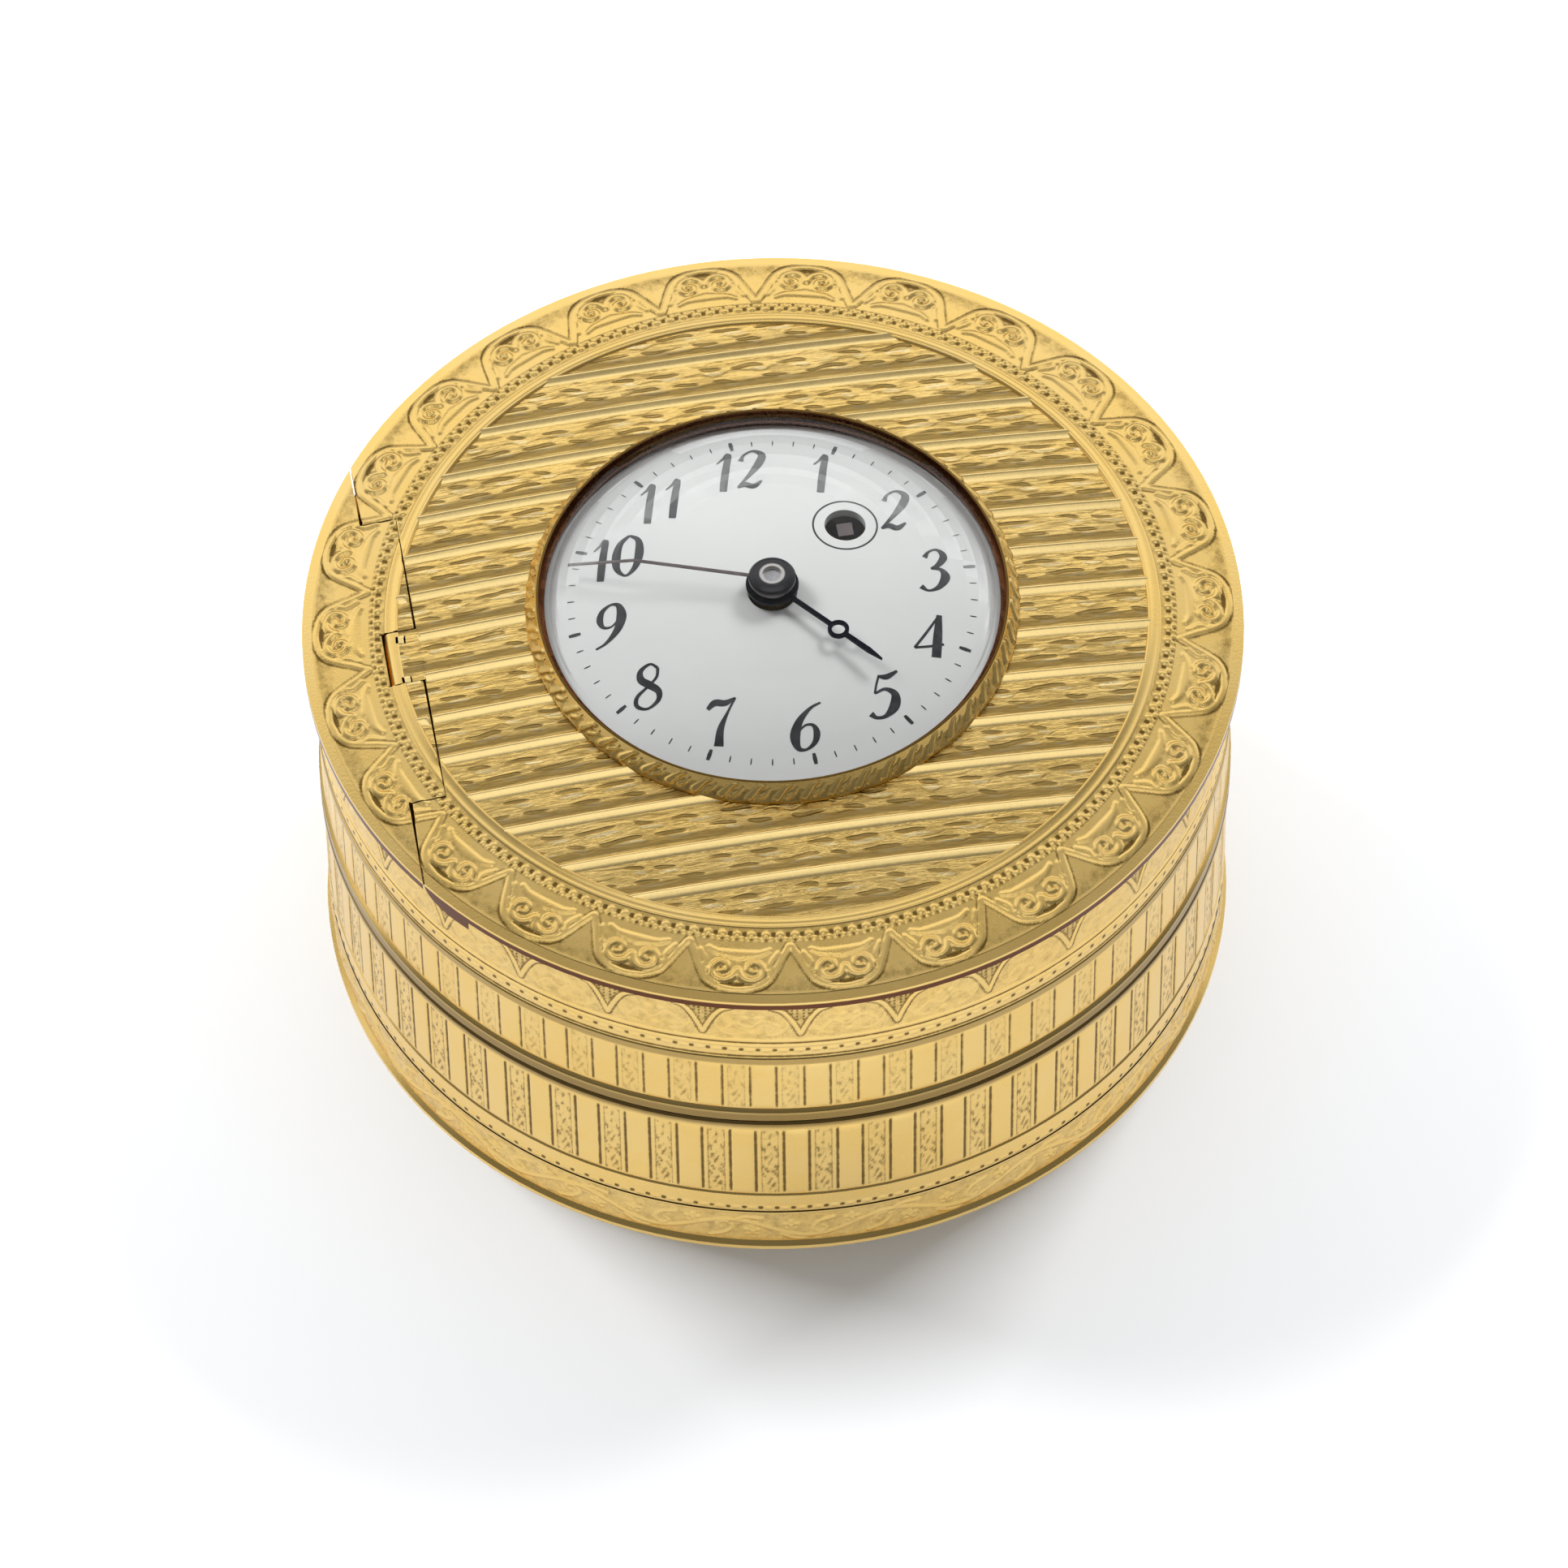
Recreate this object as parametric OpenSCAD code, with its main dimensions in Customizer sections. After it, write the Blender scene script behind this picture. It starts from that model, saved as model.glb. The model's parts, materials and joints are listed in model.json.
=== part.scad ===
// Round drum-shaped gold box with a timepiece set in its lid.
// Units are millimetres. The box stands on z = 0 with its axis on Z, 12 o'clock towards +Y
// and 3 o'clock towards +X. The hinge of the domed cover lies at the 9 o'clock side.

/* [Drum] */
// Outer diameter of the drum wall between its mouldings
drum_d = 64.4; // [63.6:0.1:64.8]
// Thickness of the drum wall
wall_t = 0.9; // [0.7:0.05:1.1]
// Height of the base, from the foot to the seam
base_h = 15.4; // [14:0.1:17]
// Height of the lid's band, from the seam to its top edge
band_h = 13.4; // [13:0.1:16]
// How far the foot stands out from the wall
foot_proud = 0.35; // [0.1:0.05:0.6]
// Height of the foot's straight edge
foot_h = 0.35; // [0.2:0.05:0.6]
// How far the rounded lips at the seam stand out
lip_proud = 0.25; // [0.1:0.05:0.4]
// Height of the base's lip under the seam
base_lip_h = 1.1; // [0.7:0.05:1.4]
// Height of the lid's lip above the seam
lid_lip_h = 1.4; // [1:0.05:2]
// How far the plain rings between the ornament stand out
ring_proud = 0.12; // [0.05:0.01:0.3]
// Height at which the base's plain ring starts
base_ring_z = 5.2; // [4.5:0.05:6]
// Height of the base's plain ring
base_ring_h = 1.2; // [0.8:0.05:2]
// Height above the seam at which the lid's plain ring starts
lid_ring_z = 6.6; // [6:0.05:8]
// Height of the lid's plain ring
lid_ring_h = 0.9; // [0.6:0.05:1.5]
// Thickness of the floor of the box
floor_t = 0.9; // [0.7:0.05:1.5]

/* [Inner collar] */
// Thickness of the collar that the lid slides over
collar_t = 0.9; // [0.6:0.05:1.1]
// Height of the collar above the seam
collar_rise = 2.4; // [1.5:0.1:2.6]
// Radial clearance between the collar and the lid
collar_fit = 0.08; // [0.05:0.01:0.1]

/* [Cover] */
// How far the cover's rim stands out beyond the wall
rim_over = 0.8; // [0.7:0.05:1.2]
// Thickness of the cover's edge
rim_t = 0.8; // [0.6:0.05:1]
// Height of the reeded groove under the rim
groove_h = 0.8; // [0.6:0.05:0.9]
// Rise of the cover's dome above its rim
dome_rise = 2.2; // [1.9:0.05:2.6]
// Thickness of the cover's sheet
cover_t = 0.9; // [0.7:0.05:0.95]
// Radial thickness of the cover's plug ring
plug_t = 0.6; // [0.4:0.05:1]
// How far the plug ring reaches into the lid
plug_depth = 0.6; // [0.3:0.05:0.7]
// Radial clearance of the plug ring in the lid
plug_fit = 0.1; // [0.05:0.01:0.1]
// How far the reeded ring stands back from the wall
reed_setback = 0.3; // [0.1:0.05:0.5]

/* [Hinge] */
// Distance of the hinge axis from the cover's edge
hinge_inset = 6.9; // [6.6:0.05:7.2]
// Depth of the hinge axis below the rim's upper edge
hinge_drop = 0.2; // [0.15:0.05:0.25]
// Radius of the hinge knuckles
knuckle_r = 1.2; // [1.1:0.05:1.3]
// Diameter of the hinge pin
pin_d = 0.7; // [0.5:0.05:0.8]
// Radial clearance of the cover's knuckles on the pin
pin_fit = 0.05; // [0.02:0.01:0.08]
// Clearance round the knuckles
knuckle_gap = 0.1; // [0.08:0.01:0.15]
// Clearance between the ends of two knuckles
knuckle_end_gap = 0.1; // [0.06:0.01:0.2]
// Length of the cover's middle knuckle
mid_knuckle_l = 4.6; // [3:0.2:7]
// Shift of the middle knuckle along the hinge
mid_knuckle_y = 0.5; // [-2:0.1:2]
// Length of each fixed knuckle
fixed_knuckle_l = 10.1; // [8:0.1:11]
// Length of the hinge pin
pin_l = 29.6; // [28:0.1:30.5]

/* [Glass and bezel] */
// How far the bezel's lip reaches over the dial's edge
lip_over = 0.1; // [0.05:0.01:0.2]
// How far the glass reaches beyond the dial's edge
glass_over = 0.25; // [0.2:0.01:0.3]
// Wall of the bezel round the glass
bezel_wall = 0.3; // [0.25:0.01:0.4]
// Width of the bezel's flange beyond the opening in the cover
flange_w = 0.7; // [0.5:0.05:1.1]
// Height of the bezel above its flange seat
bezel_h = 1.45; // [1.3:0.05:1.8]
// Thickness of the flange's outer edge
bezel_edge_t = 0.25; // [0.15:0.05:0.4]
// Wall of the bezel's spigot in the cover
spigot_t = 0.4; // [0.3:0.05:0.42]
// Thickness of the glass
glass_t = 0.7; // [0.5:0.05:1]
// Inner height of the glass above its seat
glass_rise = 3.6; // [3.4:0.1:4.6]

/* [Dial] */
// Diameter of the enamel dial
dial_d = 32.1; // [31.9:0.05:32.2]
// Thickness of the dial
dial_t = 0.7; // [0.5:0.05:0.9]
// Rise of the dial from its edge to its centre
dial_rise = 1.5; // [1.2:0.05:1.6]
// Height of the dial's lower edge above the main plate
dial_gap = 2.36; // [2.3:0.02:2.4]
// Diameter of the dial's centre hole
dial_hole_d = 3.5; // [3.3:0.1:4]
// Diameter of the winding hole
wind_hole_d = 2.9; // [2.6:0.1:3.4]
// Distance of the winding hole from the centre
wind_r = 7.95; // [7.9:0.05:8.1]
// Direction of the winding hole, from 3 o'clock towards 12
wind_angle = 40.8; // [38:0.1:44]
// Diameter of the dial's feet
dial_foot_d = 1.0; // [0.8:0.1:1.2]
// Distance of the dial's feet from the centre
dial_foot_r = 13.6; // [13:0.1:14]

/* [Hands] */
// Direction of the minute hand, from 3 o'clock towards 12
minute_angle = 161; // [0:1:359]
// Distance of the minute hand's tip from the dial's edge
minute_short = 1.55; // [1.3:0.05:4]
// Distance from the centre at which the minute hand bends down
minute_bend_r = 9.8; // [8:0.1:11]
// Drop of the minute hand's tip
minute_drop = 1.5; // [0.5:0.1:1.6]
// Width of the minute hand
minute_w = 0.22; // [0.2:0.01:0.5]
// Thickness of the minute hand
minute_t = 0.15; // [0.1:0.01:0.2]
// Direction of the hour hand, from 3 o'clock towards 12
hour_angle = -50.4; // [-180:0.1:180]
// Length of the hour hand
hour_l = 10.1; // [9:0.1:11]
// Width of the hour hand
hour_w = 0.32; // [0.25:0.01:0.6]
// Thickness of the hour hand
hour_t = 0.22; // [0.15:0.01:0.25]
// Distance of the hour hand's ring from the centre
hour_ring_r = 6.1; // [5:0.1:7]
// Outer diameter of the hour hand's ring
hour_ring_d = 1.5; // [1.2:0.1:2]
// Diameter of the boss of the minute hand
boss_d = 3.3; // [3:0.1:3.6]
// Height of the boss
boss_h = 0.45; // [0.3:0.05:0.5]

/* [Movement plates] */
// Thickness of the ring in the lid that the movement sits on
seat_t = 0.8; // [0.6:0.05:1]
// Depth of that ring's upper face below the band's top edge
seat_drop = 0.8; // [0.75:0.05:1]
// Diameter of the hole in that ring
seat_hole_d = 31.2; // [31:0.1:31.6]
// Diameter of the main plate
plate_d = 32.8; // [32.6:0.1:33]
// Thickness of the main plate
plate_t = 1.2; // [1:0.05:1.25]
// Diameter of the back plate
back_d = 30.4; // [30.2:0.1:30.8]
// Thickness of the back plate
back_t = 1.0; // [0.8:0.05:1.1]
// Distance between the plates
pillar_h = 5.2; // [5.1:0.05:5.3]
// Diameter of a pillar
pillar_d = 1.9; // [1.6:0.1:2.2]
// Distance of the pillars from the centre
pillar_r = 14.1; // [13.9:0.05:14.2]
// Thickness of the partition between the movement and the box
partition_t = 0.7; // [0.5:0.05:0.8]
// Height of the partition's lower face above the seam
partition_rise = 2.9; // [2.8:0.05:3]
// Diameter of the screws that hold the plates
screw_d = 0.9; // [0.8:0.05:1.1]
// Diameter of those screws' heads
screw_head_d = 1.8; // [1.6:0.1:2]
// Thickness of those screws' heads
screw_head_t = 0.45; // [0.3:0.05:0.5]
// Diameter of the screws that hold the movement in the lid
case_screw_d = 1.2; // [1:0.05:1.3]
// Distance of the case screws' axes from the main plate's edge
case_screw_out = 1.0; // [0.9:0.05:1.1]
// Diameter of those screws' heads
case_screw_head_d = 2.7; // [2.5:0.1:2.9]

/* [Wheels] */
// Depth of the centre wheel below the movement's seat
centre_wheel_drop = 4.6; // [4.5:0.05:4.7]
// Depth of the third wheel below the movement's seat
third_wheel_drop = 1.6; // [1.55:0.05:1.65]
// Depth of the fourth wheel below the movement's seat
fourth_wheel_drop = 3.5; // [3.45:0.05:3.55]
// Depth of the escape wheel below the movement's seat
escape_wheel_drop = 2.1; // [2.05:0.05:2.15]
// Running clearance of a pivot in its hole
pivot_fit = 0.04; // [0.02:0.01:0.08]
// Teeth of the barrel
barrel_n = 72; // [72]
// Teeth of the centre pinion
centre_pinion_n = 12; // [12]
// Module of the centre wheel and the third pinion
centre_m = 0.15; // [0.148:0.001:0.152]
// Module of the third wheel and the fourth pinion
third_m = 0.13; // [0.128:0.001:0.132]
// Module of the fourth wheel and the escape pinion
fourth_m = 0.115; // [0.113:0.001:0.117]
// Module of the cannon pinion and the minute wheel
cannon_m = 0.16; // [0.158:0.001:0.162]
// Thickness of a train wheel
wheel_t = 0.3; // [0.25:0.01:0.35]
// Height of the barrel's drum
barrel_h = 3.1; // [2.9:0.05:3.15]
// Height of the barrel's toothed rim
barrel_rim_h = 0.6; // [0.5:0.05:0.7]
// Outer diameter of the barrel's drum under its teeth
drum_barrel_d = 12.6; // [12.2:0.1:12.8]
// Wall of the barrel's drum
barrel_wall = 0.5; // [0.4:0.05:0.6]
// Diameter of the barrel's arbor
barrel_arbor_d = 2.0; // [1.8:0.1:2.2]
// Diameter of the centre arbor
centre_arbor_d = 1.1; // [1:0.05:1.2]
// Width across the flats of the winding square
wind_square = 1.1; // [0.9:0.05:1.2]
// Distance of the balance's axis from the escape wheel's
balance_offset = 3.05; // [3.05:0.01:3.2]
// Outer diameter of the balance
balance_d = 12.0; // [11:0.1:12.4]
// Width of the balance's rim
balance_rim_w = 0.8; // [0.6:0.05:1.2]
// Thickness of the balance
balance_t = 0.5; // [0.4:0.05:0.55]
// Thickness of the balance cock
cock_t = 0.6; // [0.5:0.05:0.7]
// Thickness of the ratchet wheel and its click
ratchet_t = 0.5; // [0.4:0.05:0.6]

/* [Hidden] */
$fn = 96;

gold = [0.83, 0.68, 0.38];
brass = [0.78, 0.65, 0.35];
steel = [0.45, 0.47, 0.5];
blued = [0.13, 0.15, 0.3];
enamel = [0.93, 0.93, 0.91];

// Heights, counted up from the foot
seam_z = base_h;
band_top = seam_z + band_h;
rim_low = band_top + groove_h;
rim_top = rim_low + rim_t;
floor_z = foot_h;
collar_top = seam_z + collar_rise;
partition_z = seam_z + partition_rise;
seat_top = band_top - seat_drop;
plate_top = seat_top + plate_t;
back_top = seat_top - pillar_h;
back_low = back_top - back_t;
hinge_z = rim_top - hinge_drop;

// Radii
drum_r = drum_d / 2;
wall_r = drum_r - wall_t;
cover_r = drum_r + rim_over;
cover_d = 2 * cover_r;
hinge_x = cover_r - hinge_inset;
glass_r = dial_d / 2 + glass_over;
cover_hole_d = 2 * (glass_r + bezel_wall);
bezel_d = cover_hole_d + 2 * flange_w;
bezel_lip_d = dial_d - 2 * lip_over;
minute_l = dial_d / 2 - minute_short;
case_screw_r = plate_d / 2 + case_screw_out;
bore_fit = 0.15;
slack = 0.05;

// Height of the dome's outer face at a radius
function dome_z(r) = rim_top + dome_rise * (1 - pow(r / cover_r, 2));
// A point at a radius and an angle
function polar(r, a) = [r * cos(a), r * sin(a)];
// Evenly spaced numbers from one value to another
function steps(from, to, n) = [for (i = [0:n]) from + (to - from) * i / n];
// Radii at which the dome's outer face is drawn
dome_n = 9;
dome_rs = steps(cover_hole_d / 2, cover_r, dome_n);

// Places of the arbors, seen from above
wind_p = polar(wind_r, wind_angle);
centre_wheel_n = 64;
third_pinion_n = 8;
third_wheel_n = 60;
fourth_pinion_n = 8;
fourth_wheel_n = 60;
escape_pinion_n = 8;
cannon_n = 12;
minute_wheel_n = 36;
minute_pinion_n = 12;
hour_wheel_n = 48;
third_angle = 175;
fourth_angle = -75;
escape_angle = -45;
balance_angle = -4.5;
motion_angle = 250;
third_p = polar(centre_m * (centre_wheel_n + third_pinion_n) / 2, third_angle);
fourth_p = third_p + polar(third_m * (third_wheel_n + fourth_pinion_n) / 2, fourth_angle);
escape_p = fourth_p + polar(fourth_m * (fourth_wheel_n + escape_pinion_n) / 2, escape_angle);
balance_p = escape_p + polar(balance_offset, balance_angle);
motion_r = cannon_m * (cannon_n + minute_wheel_n) / 2;
motion_p = polar(motion_r, motion_angle);
barrel_m = 2 * wind_r / (barrel_n + centre_pinion_n);
hour_m = 2 * motion_r / (minute_pinion_n + hour_wheel_n);

// Depths of the wheels below the main plate
barrel_gap = 0.3;
barrel_top = seat_top - barrel_gap;
barrel_low = barrel_top - barrel_h;
centre_wheel_z = seat_top - centre_wheel_drop;
third_wheel_z = seat_top - third_wheel_drop;
fourth_wheel_z = seat_top - fourth_wheel_drop;
escape_wheel_z = seat_top - escape_wheel_drop;
balance_gap = 0.3;
balance_z = back_low - balance_gap - balance_t;
hairspring_h = 0.25;
hairspring_z = balance_z - 0.15 - hairspring_h;
cock_top = hairspring_z - 0.2;
cock_low = cock_top - cock_t;

// Heights of the work between the main plate and the dial
ratchet_z = plate_top + 0.1;
cannon_z = plate_top + 0.3;
cannon_leaf_h = 0.7;
minute_wheel_z = cannon_z + 0.1;
minute_wheel_h = 0.5;
hour_wheel_z = minute_wheel_z + minute_wheel_h + 0.25;
hour_wheel_h = 0.5;

// Heights at the dial
dial_low = plate_top + dial_gap;
dial_edge_z = dial_low + dial_t;
function dial_z(r) = dial_edge_z + dial_rise * (1 - pow(r / (dial_d / 2), 2));
hour_hand_z = dial_z(0) + 0.65;
minute_hand_z = hour_hand_z + hour_t + 0.5;
boss_z = minute_hand_z + minute_t;
cannon_pipe_r = 0.9;
hour_pipe_r = 1.35;

// Heights at the bezel
bezel_seat_z = dome_z(cover_hole_d / 2);
bezel_top = bezel_seat_z + bezel_h;
glass_seat_z = bezel_top - 0.6;
lip_under_z = glass_seat_z - 0.35;

// Involute gear outline, with a tooth centred on the angle phase.
// The teeth are stubby, at a pressure angle of 25 degrees, with a little play.
function involute(rb, r) = let (a = acos(min(1, rb / r))) tan(a) - a * PI / 180;
function tooth_half(n, m, r) =
    let (rp = n * m / 2, rb = rp * cos(25))
    (PI / (2 * n) - 0.05 * m / rp + involute(rb, rp) - involute(rb, max(rb, r))) * 180 / PI;
function gear_points(n, m, phase, add = 0.6, ded = 0.85) =
    let (
        rp = n * m / 2,
        rt = rp + add * m,
        rr = rp - ded * m,
        rs = steps(max(rr, rp * cos(25)), rt, 3)
    )
    [for (i = [0:n - 1]) let (a = phase + 360 * i / n) each concat(
        [polar(rr, a - tooth_half(n, m, rr) - 1.2 / m / n)],
        [for (k = [0:3]) polar(rs[k], a - tooth_half(n, m, rs[k]))],
        [for (k = [3:-1:0]) polar(rs[k], a + tooth_half(n, m, rs[k]))],
        [polar(rr, a + tooth_half(n, m, rr) + 1.2 / m / n)]
    )];
// Phase that puts gear b in mesh with gear a, b lying at the angle theta from a
function mesh_phase(na, phase_a, nb, theta) =
    theta + 180 + 360 / nb * (0.5 - (phase_a - theta) * na / 360);
// Outline of one opening between the arms of a wheel
function window_points(r0, r1, arm, i, arms) = concat(
    [for (k = [0:4]) polar(r0, 360 / arms * i + asin(arm / 2 / r0)
        + (360 / arms - 2 * asin(arm / 2 / r0)) * k / 4)],
    [for (k = [4:-1:0]) polar(r1, 360 / arms * i + asin(arm / 2 / r1)
        + (360 / arms - 2 * asin(arm / 2 / r1)) * k / 4)]
);

module at(p, z = 0) {
    translate([p[0], p[1], z]) children();
}

module ring(r_out, r_in, h) {
    difference() {
        cylinder(r = r_out, h = h);
        translate([0, 0, -1]) cylinder(r = r_in, h = h + 2);
    }
}

// Flat wheel with four arms and a round hole
module wheel(n, m, phase, h, bore_r, arms = 4, arm_w = 0.5) {
    rim_r = n * m / 2 - 0.85 * m - 0.45;
    hub_r = bore_r + 0.45;
    linear_extrude(height = h) difference() {
        polygon(gear_points(n, m, phase));
        circle(r = bore_r);
        for (i = [0:arms - 1]) polygon(window_points(hub_r, rim_r, arm_w, i, arms));
    }
}

// Arbor between the plates, with a pinion and two pivots.
// The wheel sits on the arbor's body, which fills the wheel's hole.
module train_arbor(body_r, pivot_r, n, m, phase, pinion_low, pinion_high) {
    translate([0, 0, back_top + bore_fit])
        cylinder(r = body_r, h = pillar_h - 2 * bore_fit);
    translate([0, 0, back_low + bore_fit])
        cylinder(r = pivot_r, h = pillar_h + back_t + plate_t - 2 * bore_fit);
    translate([0, 0, pinion_low])
        linear_extrude(height = pinion_high - pinion_low) polygon(gear_points(n, m, phase));
}

// Plain screw with a slotted head, its head towards +Z from z = 0
module screw(shank_r, shank_l, head_r, head_t) {
    translate([0, 0, -shank_l]) cylinder(r = shank_r, h = shank_l, $fn = 48);
    difference() {
        cylinder(r = head_r, h = head_t, $fn = 48);
        translate([-head_r - 1, -0.1, head_t * 0.55]) cube([2 * head_r + 2, 0.2, head_t]);
    }
}

// The base: wall with its foot, floor and inner collar

module base_wall() {
    color(gold) rotate_extrude() polygon([
        [wall_r, 0],
        [drum_r + foot_proud, 0],
        [drum_r + foot_proud, foot_h],
        [drum_r, foot_h + foot_proud],
        [drum_r, base_ring_z],
        [drum_r + ring_proud, base_ring_z + ring_proud],
        [drum_r + ring_proud, base_ring_z + base_ring_h - ring_proud],
        [drum_r, base_ring_z + base_ring_h],
        [drum_r, seam_z - base_lip_h],
        [drum_r + lip_proud, seam_z - base_lip_h + lip_proud],
        [drum_r + lip_proud, seam_z - lip_proud],
        [drum_r, seam_z],
        [wall_r, seam_z]
    ]);
}

module base_plate() {
    color(gold) translate([0, 0, floor_z]) cylinder(r = wall_r, h = floor_t);
}

module gorge() {
    inner_r = wall_r - collar_t;
    chamfer = 0.25;
    color(gold) rotate_extrude() polygon([
        [inner_r, floor_z + floor_t],
        [wall_r, floor_z + floor_t],
        [wall_r, seam_z],
        [wall_r - collar_fit, seam_z],
        [wall_r - collar_fit, collar_top - chamfer],
        [wall_r - collar_fit - chamfer, collar_top],
        [inner_r, collar_top]
    ]);
}

// The lid: band, partition, seat of the movement and the fixed half of the hinge

module hinge_clearance() {
    translate([-hinge_x, 0, hinge_z]) rotate([90, 0, 0])
        cylinder(r = knuckle_r + knuckle_gap, h = cover_d, center = true);
}

module lid_band() {
    color(gold) difference() {
        rotate_extrude() polygon([
            [wall_r, seam_z],
            [drum_r, seam_z],
            [drum_r + lip_proud, seam_z + lip_proud],
            [drum_r + lip_proud, seam_z + lid_lip_h - lip_proud],
            [drum_r, seam_z + lid_lip_h],
            [drum_r, seam_z + lid_ring_z],
            [drum_r + ring_proud, seam_z + lid_ring_z + ring_proud],
            [drum_r + ring_proud, seam_z + lid_ring_z + lid_ring_h - ring_proud],
            [drum_r, seam_z + lid_ring_z + lid_ring_h],
            [drum_r, band_top],
            [wall_r, band_top]
        ]);
        hinge_clearance();
    }
}

module lid_partition() {
    color(gold) translate([0, 0, partition_z]) cylinder(r = wall_r, h = partition_t);
}

module case_screw_places() {
    for (a = [30, 150, 270]) rotate(a) translate([case_screw_r, 0, plate_top]) children();
}

module movement_seat() {
    color(gold) difference() {
        translate([0, 0, seat_top - seat_t]) ring(wall_r, seat_hole_d / 2, seat_t);
        case_screw_places()
            translate([0, 0, -plate_t - seat_t - 1])
            cylinder(r = case_screw_d / 2, h = plate_t + seat_t + 2, $fn = 48);
    }
}

module case_screws() {
    color(steel) case_screw_places()
        screw(case_screw_d / 2, plate_t + seat_t, case_screw_head_d / 2, screw_head_t);
}

// Solid under the dome's outer face
module dome_body(z_low) {
    rotate_extrude() polygon(concat(
        [[0, z_low], [cover_r, z_low]],
        [for (i = [dome_n:-1:0]) [dome_rs[i], dome_z(dome_rs[i])]],
        [[0, dome_z(dome_rs[0])]]
    ));
}

// One knuckle from y = from to y = to
module knuckle(from, to) {
    translate([-hinge_x, to, hinge_z]) rotate([90, 0, 0])
        cylinder(r = knuckle_r, h = to - from, $fn = 64);
}

// Bore for the pin, blind in the outer knuckles
module hinge_bore(bore_r) {
    translate([-hinge_x, 0, hinge_z]) rotate([90, 0, 0])
        cylinder(r = bore_r, h = pin_l + 2 * knuckle_end_gap, center = true, $fn = 48);
}

// The five knuckles' borders along the hinge
mid_to = mid_knuckle_y + mid_knuckle_l / 2;
mid_from = mid_knuckle_y - mid_knuckle_l / 2;
upper_to = mid_to + fixed_knuckle_l;
lower_from = mid_from - fixed_knuckle_l;
end_gap = knuckle_end_gap / 2;
hinge_edge = knuckle_r + knuckle_gap;
web_low = band_top + 0.1;

// Web that ties a knuckle to its plate: side is 1 towards +X, -1 towards -X
module knuckle_web(from, to, side) {
    translate([side > 0 ? -hinge_x : -hinge_x - hinge_edge - slack, from, web_low])
        cube([hinge_edge + slack, to - from, dome_rise + rim_t + groove_h]);
}

module hinge_segment() {
    fixed = [[mid_to + end_gap, upper_to - end_gap], [lower_from + end_gap, mid_from - end_gap]];
    color(gold) difference() {
        intersection() {
            dome_body(hinge_z - knuckle_r - 1);
            union() {
                difference() {
                    union() {
                        translate([0, 0, rim_low]) cylinder(r = cover_r, h = 2 * dome_rise + rim_t);
                        translate([0, 0, band_top]) cylinder(r = drum_r, h = groove_h + slack);
                    }
                    translate([-hinge_x - hinge_edge, -cover_d, -1])
                        cube([2 * cover_d, 2 * cover_d, 99]);
                }
                for (k = fixed) {
                    knuckle(k[0], k[1]);
                    knuckle_web(k[0], k[1], -1);
                }
            }
        }
        hinge_bore(pin_d / 2);
    }
}

module hinge_pin() {
    color(steel) translate([-hinge_x, pin_l / 2, hinge_z]) rotate([90, 0, 0])
        cylinder(r = pin_d / 2, h = pin_l, $fn = 48);
}

// The movement's fixed pieces

pillar_angles = [5, 95, 175, 262];
dial_foot_angles = [70, 200, 310];
dial_foot_top = dial_z(dial_foot_r) - dial_t / 2;
cock_foot_p = polar(13.2, -50);
click_p = polar(12.6, 76);
click_screw_d = 0.7;

module main_plate() {
    color(brass) difference() {
        translate([0, 0, seat_top]) cylinder(r = plate_d / 2, h = plate_t);
        at([0, 0], seat_top - 1)
            cylinder(r = centre_arbor_d / 2 + pivot_fit, h = plate_t + 2, $fn = 48);
        at(wind_p, seat_top - 1)
            cylinder(r = barrel_arbor_d / 2 + pivot_fit, h = plate_t + 2, $fn = 48);
        for (p = [third_p, fourth_p, escape_p, balance_p]) at(p, seat_top - 1)
            cylinder(r = train_pivot_r + pivot_fit, h = plate_t + 2, $fn = 32);
        at(motion_p, seat_top - 1) cylinder(r = minute_stud_r, h = plate_t + 2, $fn = 32);
        for (a = dial_foot_angles) at(polar(dial_foot_r, a), seat_top - 1)
            cylinder(r = dial_foot_d / 2 + slack, h = plate_t + 2, $fn = 32);
        for (p = click_screw_places()) at(p, seat_top + 0.3)
            cylinder(r = click_screw_d / 2, h = plate_t, $fn = 32);
    }
}

module back_plate() {
    color(brass) difference() {
        translate([0, 0, back_low]) cylinder(r = back_d / 2, h = back_t);
        at([0, 0], back_low - 1)
            cylinder(r = centre_pivot_r + pivot_fit, h = back_t + 2, $fn = 48);
        at(wind_p, back_low - 1)
            cylinder(r = barrel_pivot_r + pivot_fit, h = back_t + 2, $fn = 48);
        for (p = [third_p, fourth_p, escape_p]) at(p, back_low - 1)
            cylinder(r = train_pivot_r + pivot_fit, h = back_t + 2, $fn = 32);
        at(balance_p, back_low - 1) cylinder(r = staff_r + 0.3, h = back_t + 2, $fn = 48);
        for (a = pillar_angles) at(polar(pillar_r, a), back_low - 1)
            cylinder(r = screw_d / 2, h = back_t + 2, $fn = 32);
        at(cock_foot_p, back_low - 1) cylinder(r = screw_d / 2, h = back_t + 2, $fn = 32);
    }
}

module pillars() {
    color(brass) for (a = pillar_angles) at(polar(pillar_r, a), back_top) difference() {
        cylinder(r = pillar_d / 2, h = pillar_h, $fn = 48);
        translate([0, 0, -1]) cylinder(r = screw_d / 2, h = pillar_screw_l + 1, $fn = 32);
    }
}

module pillar_screws() {
    color(blued) for (a = pillar_angles) at(polar(pillar_r, a), back_low) rotate([180, 0, 0])
        screw(screw_d / 2, back_t + pillar_screw_l, screw_head_d / 2, screw_head_t);
}

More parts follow.
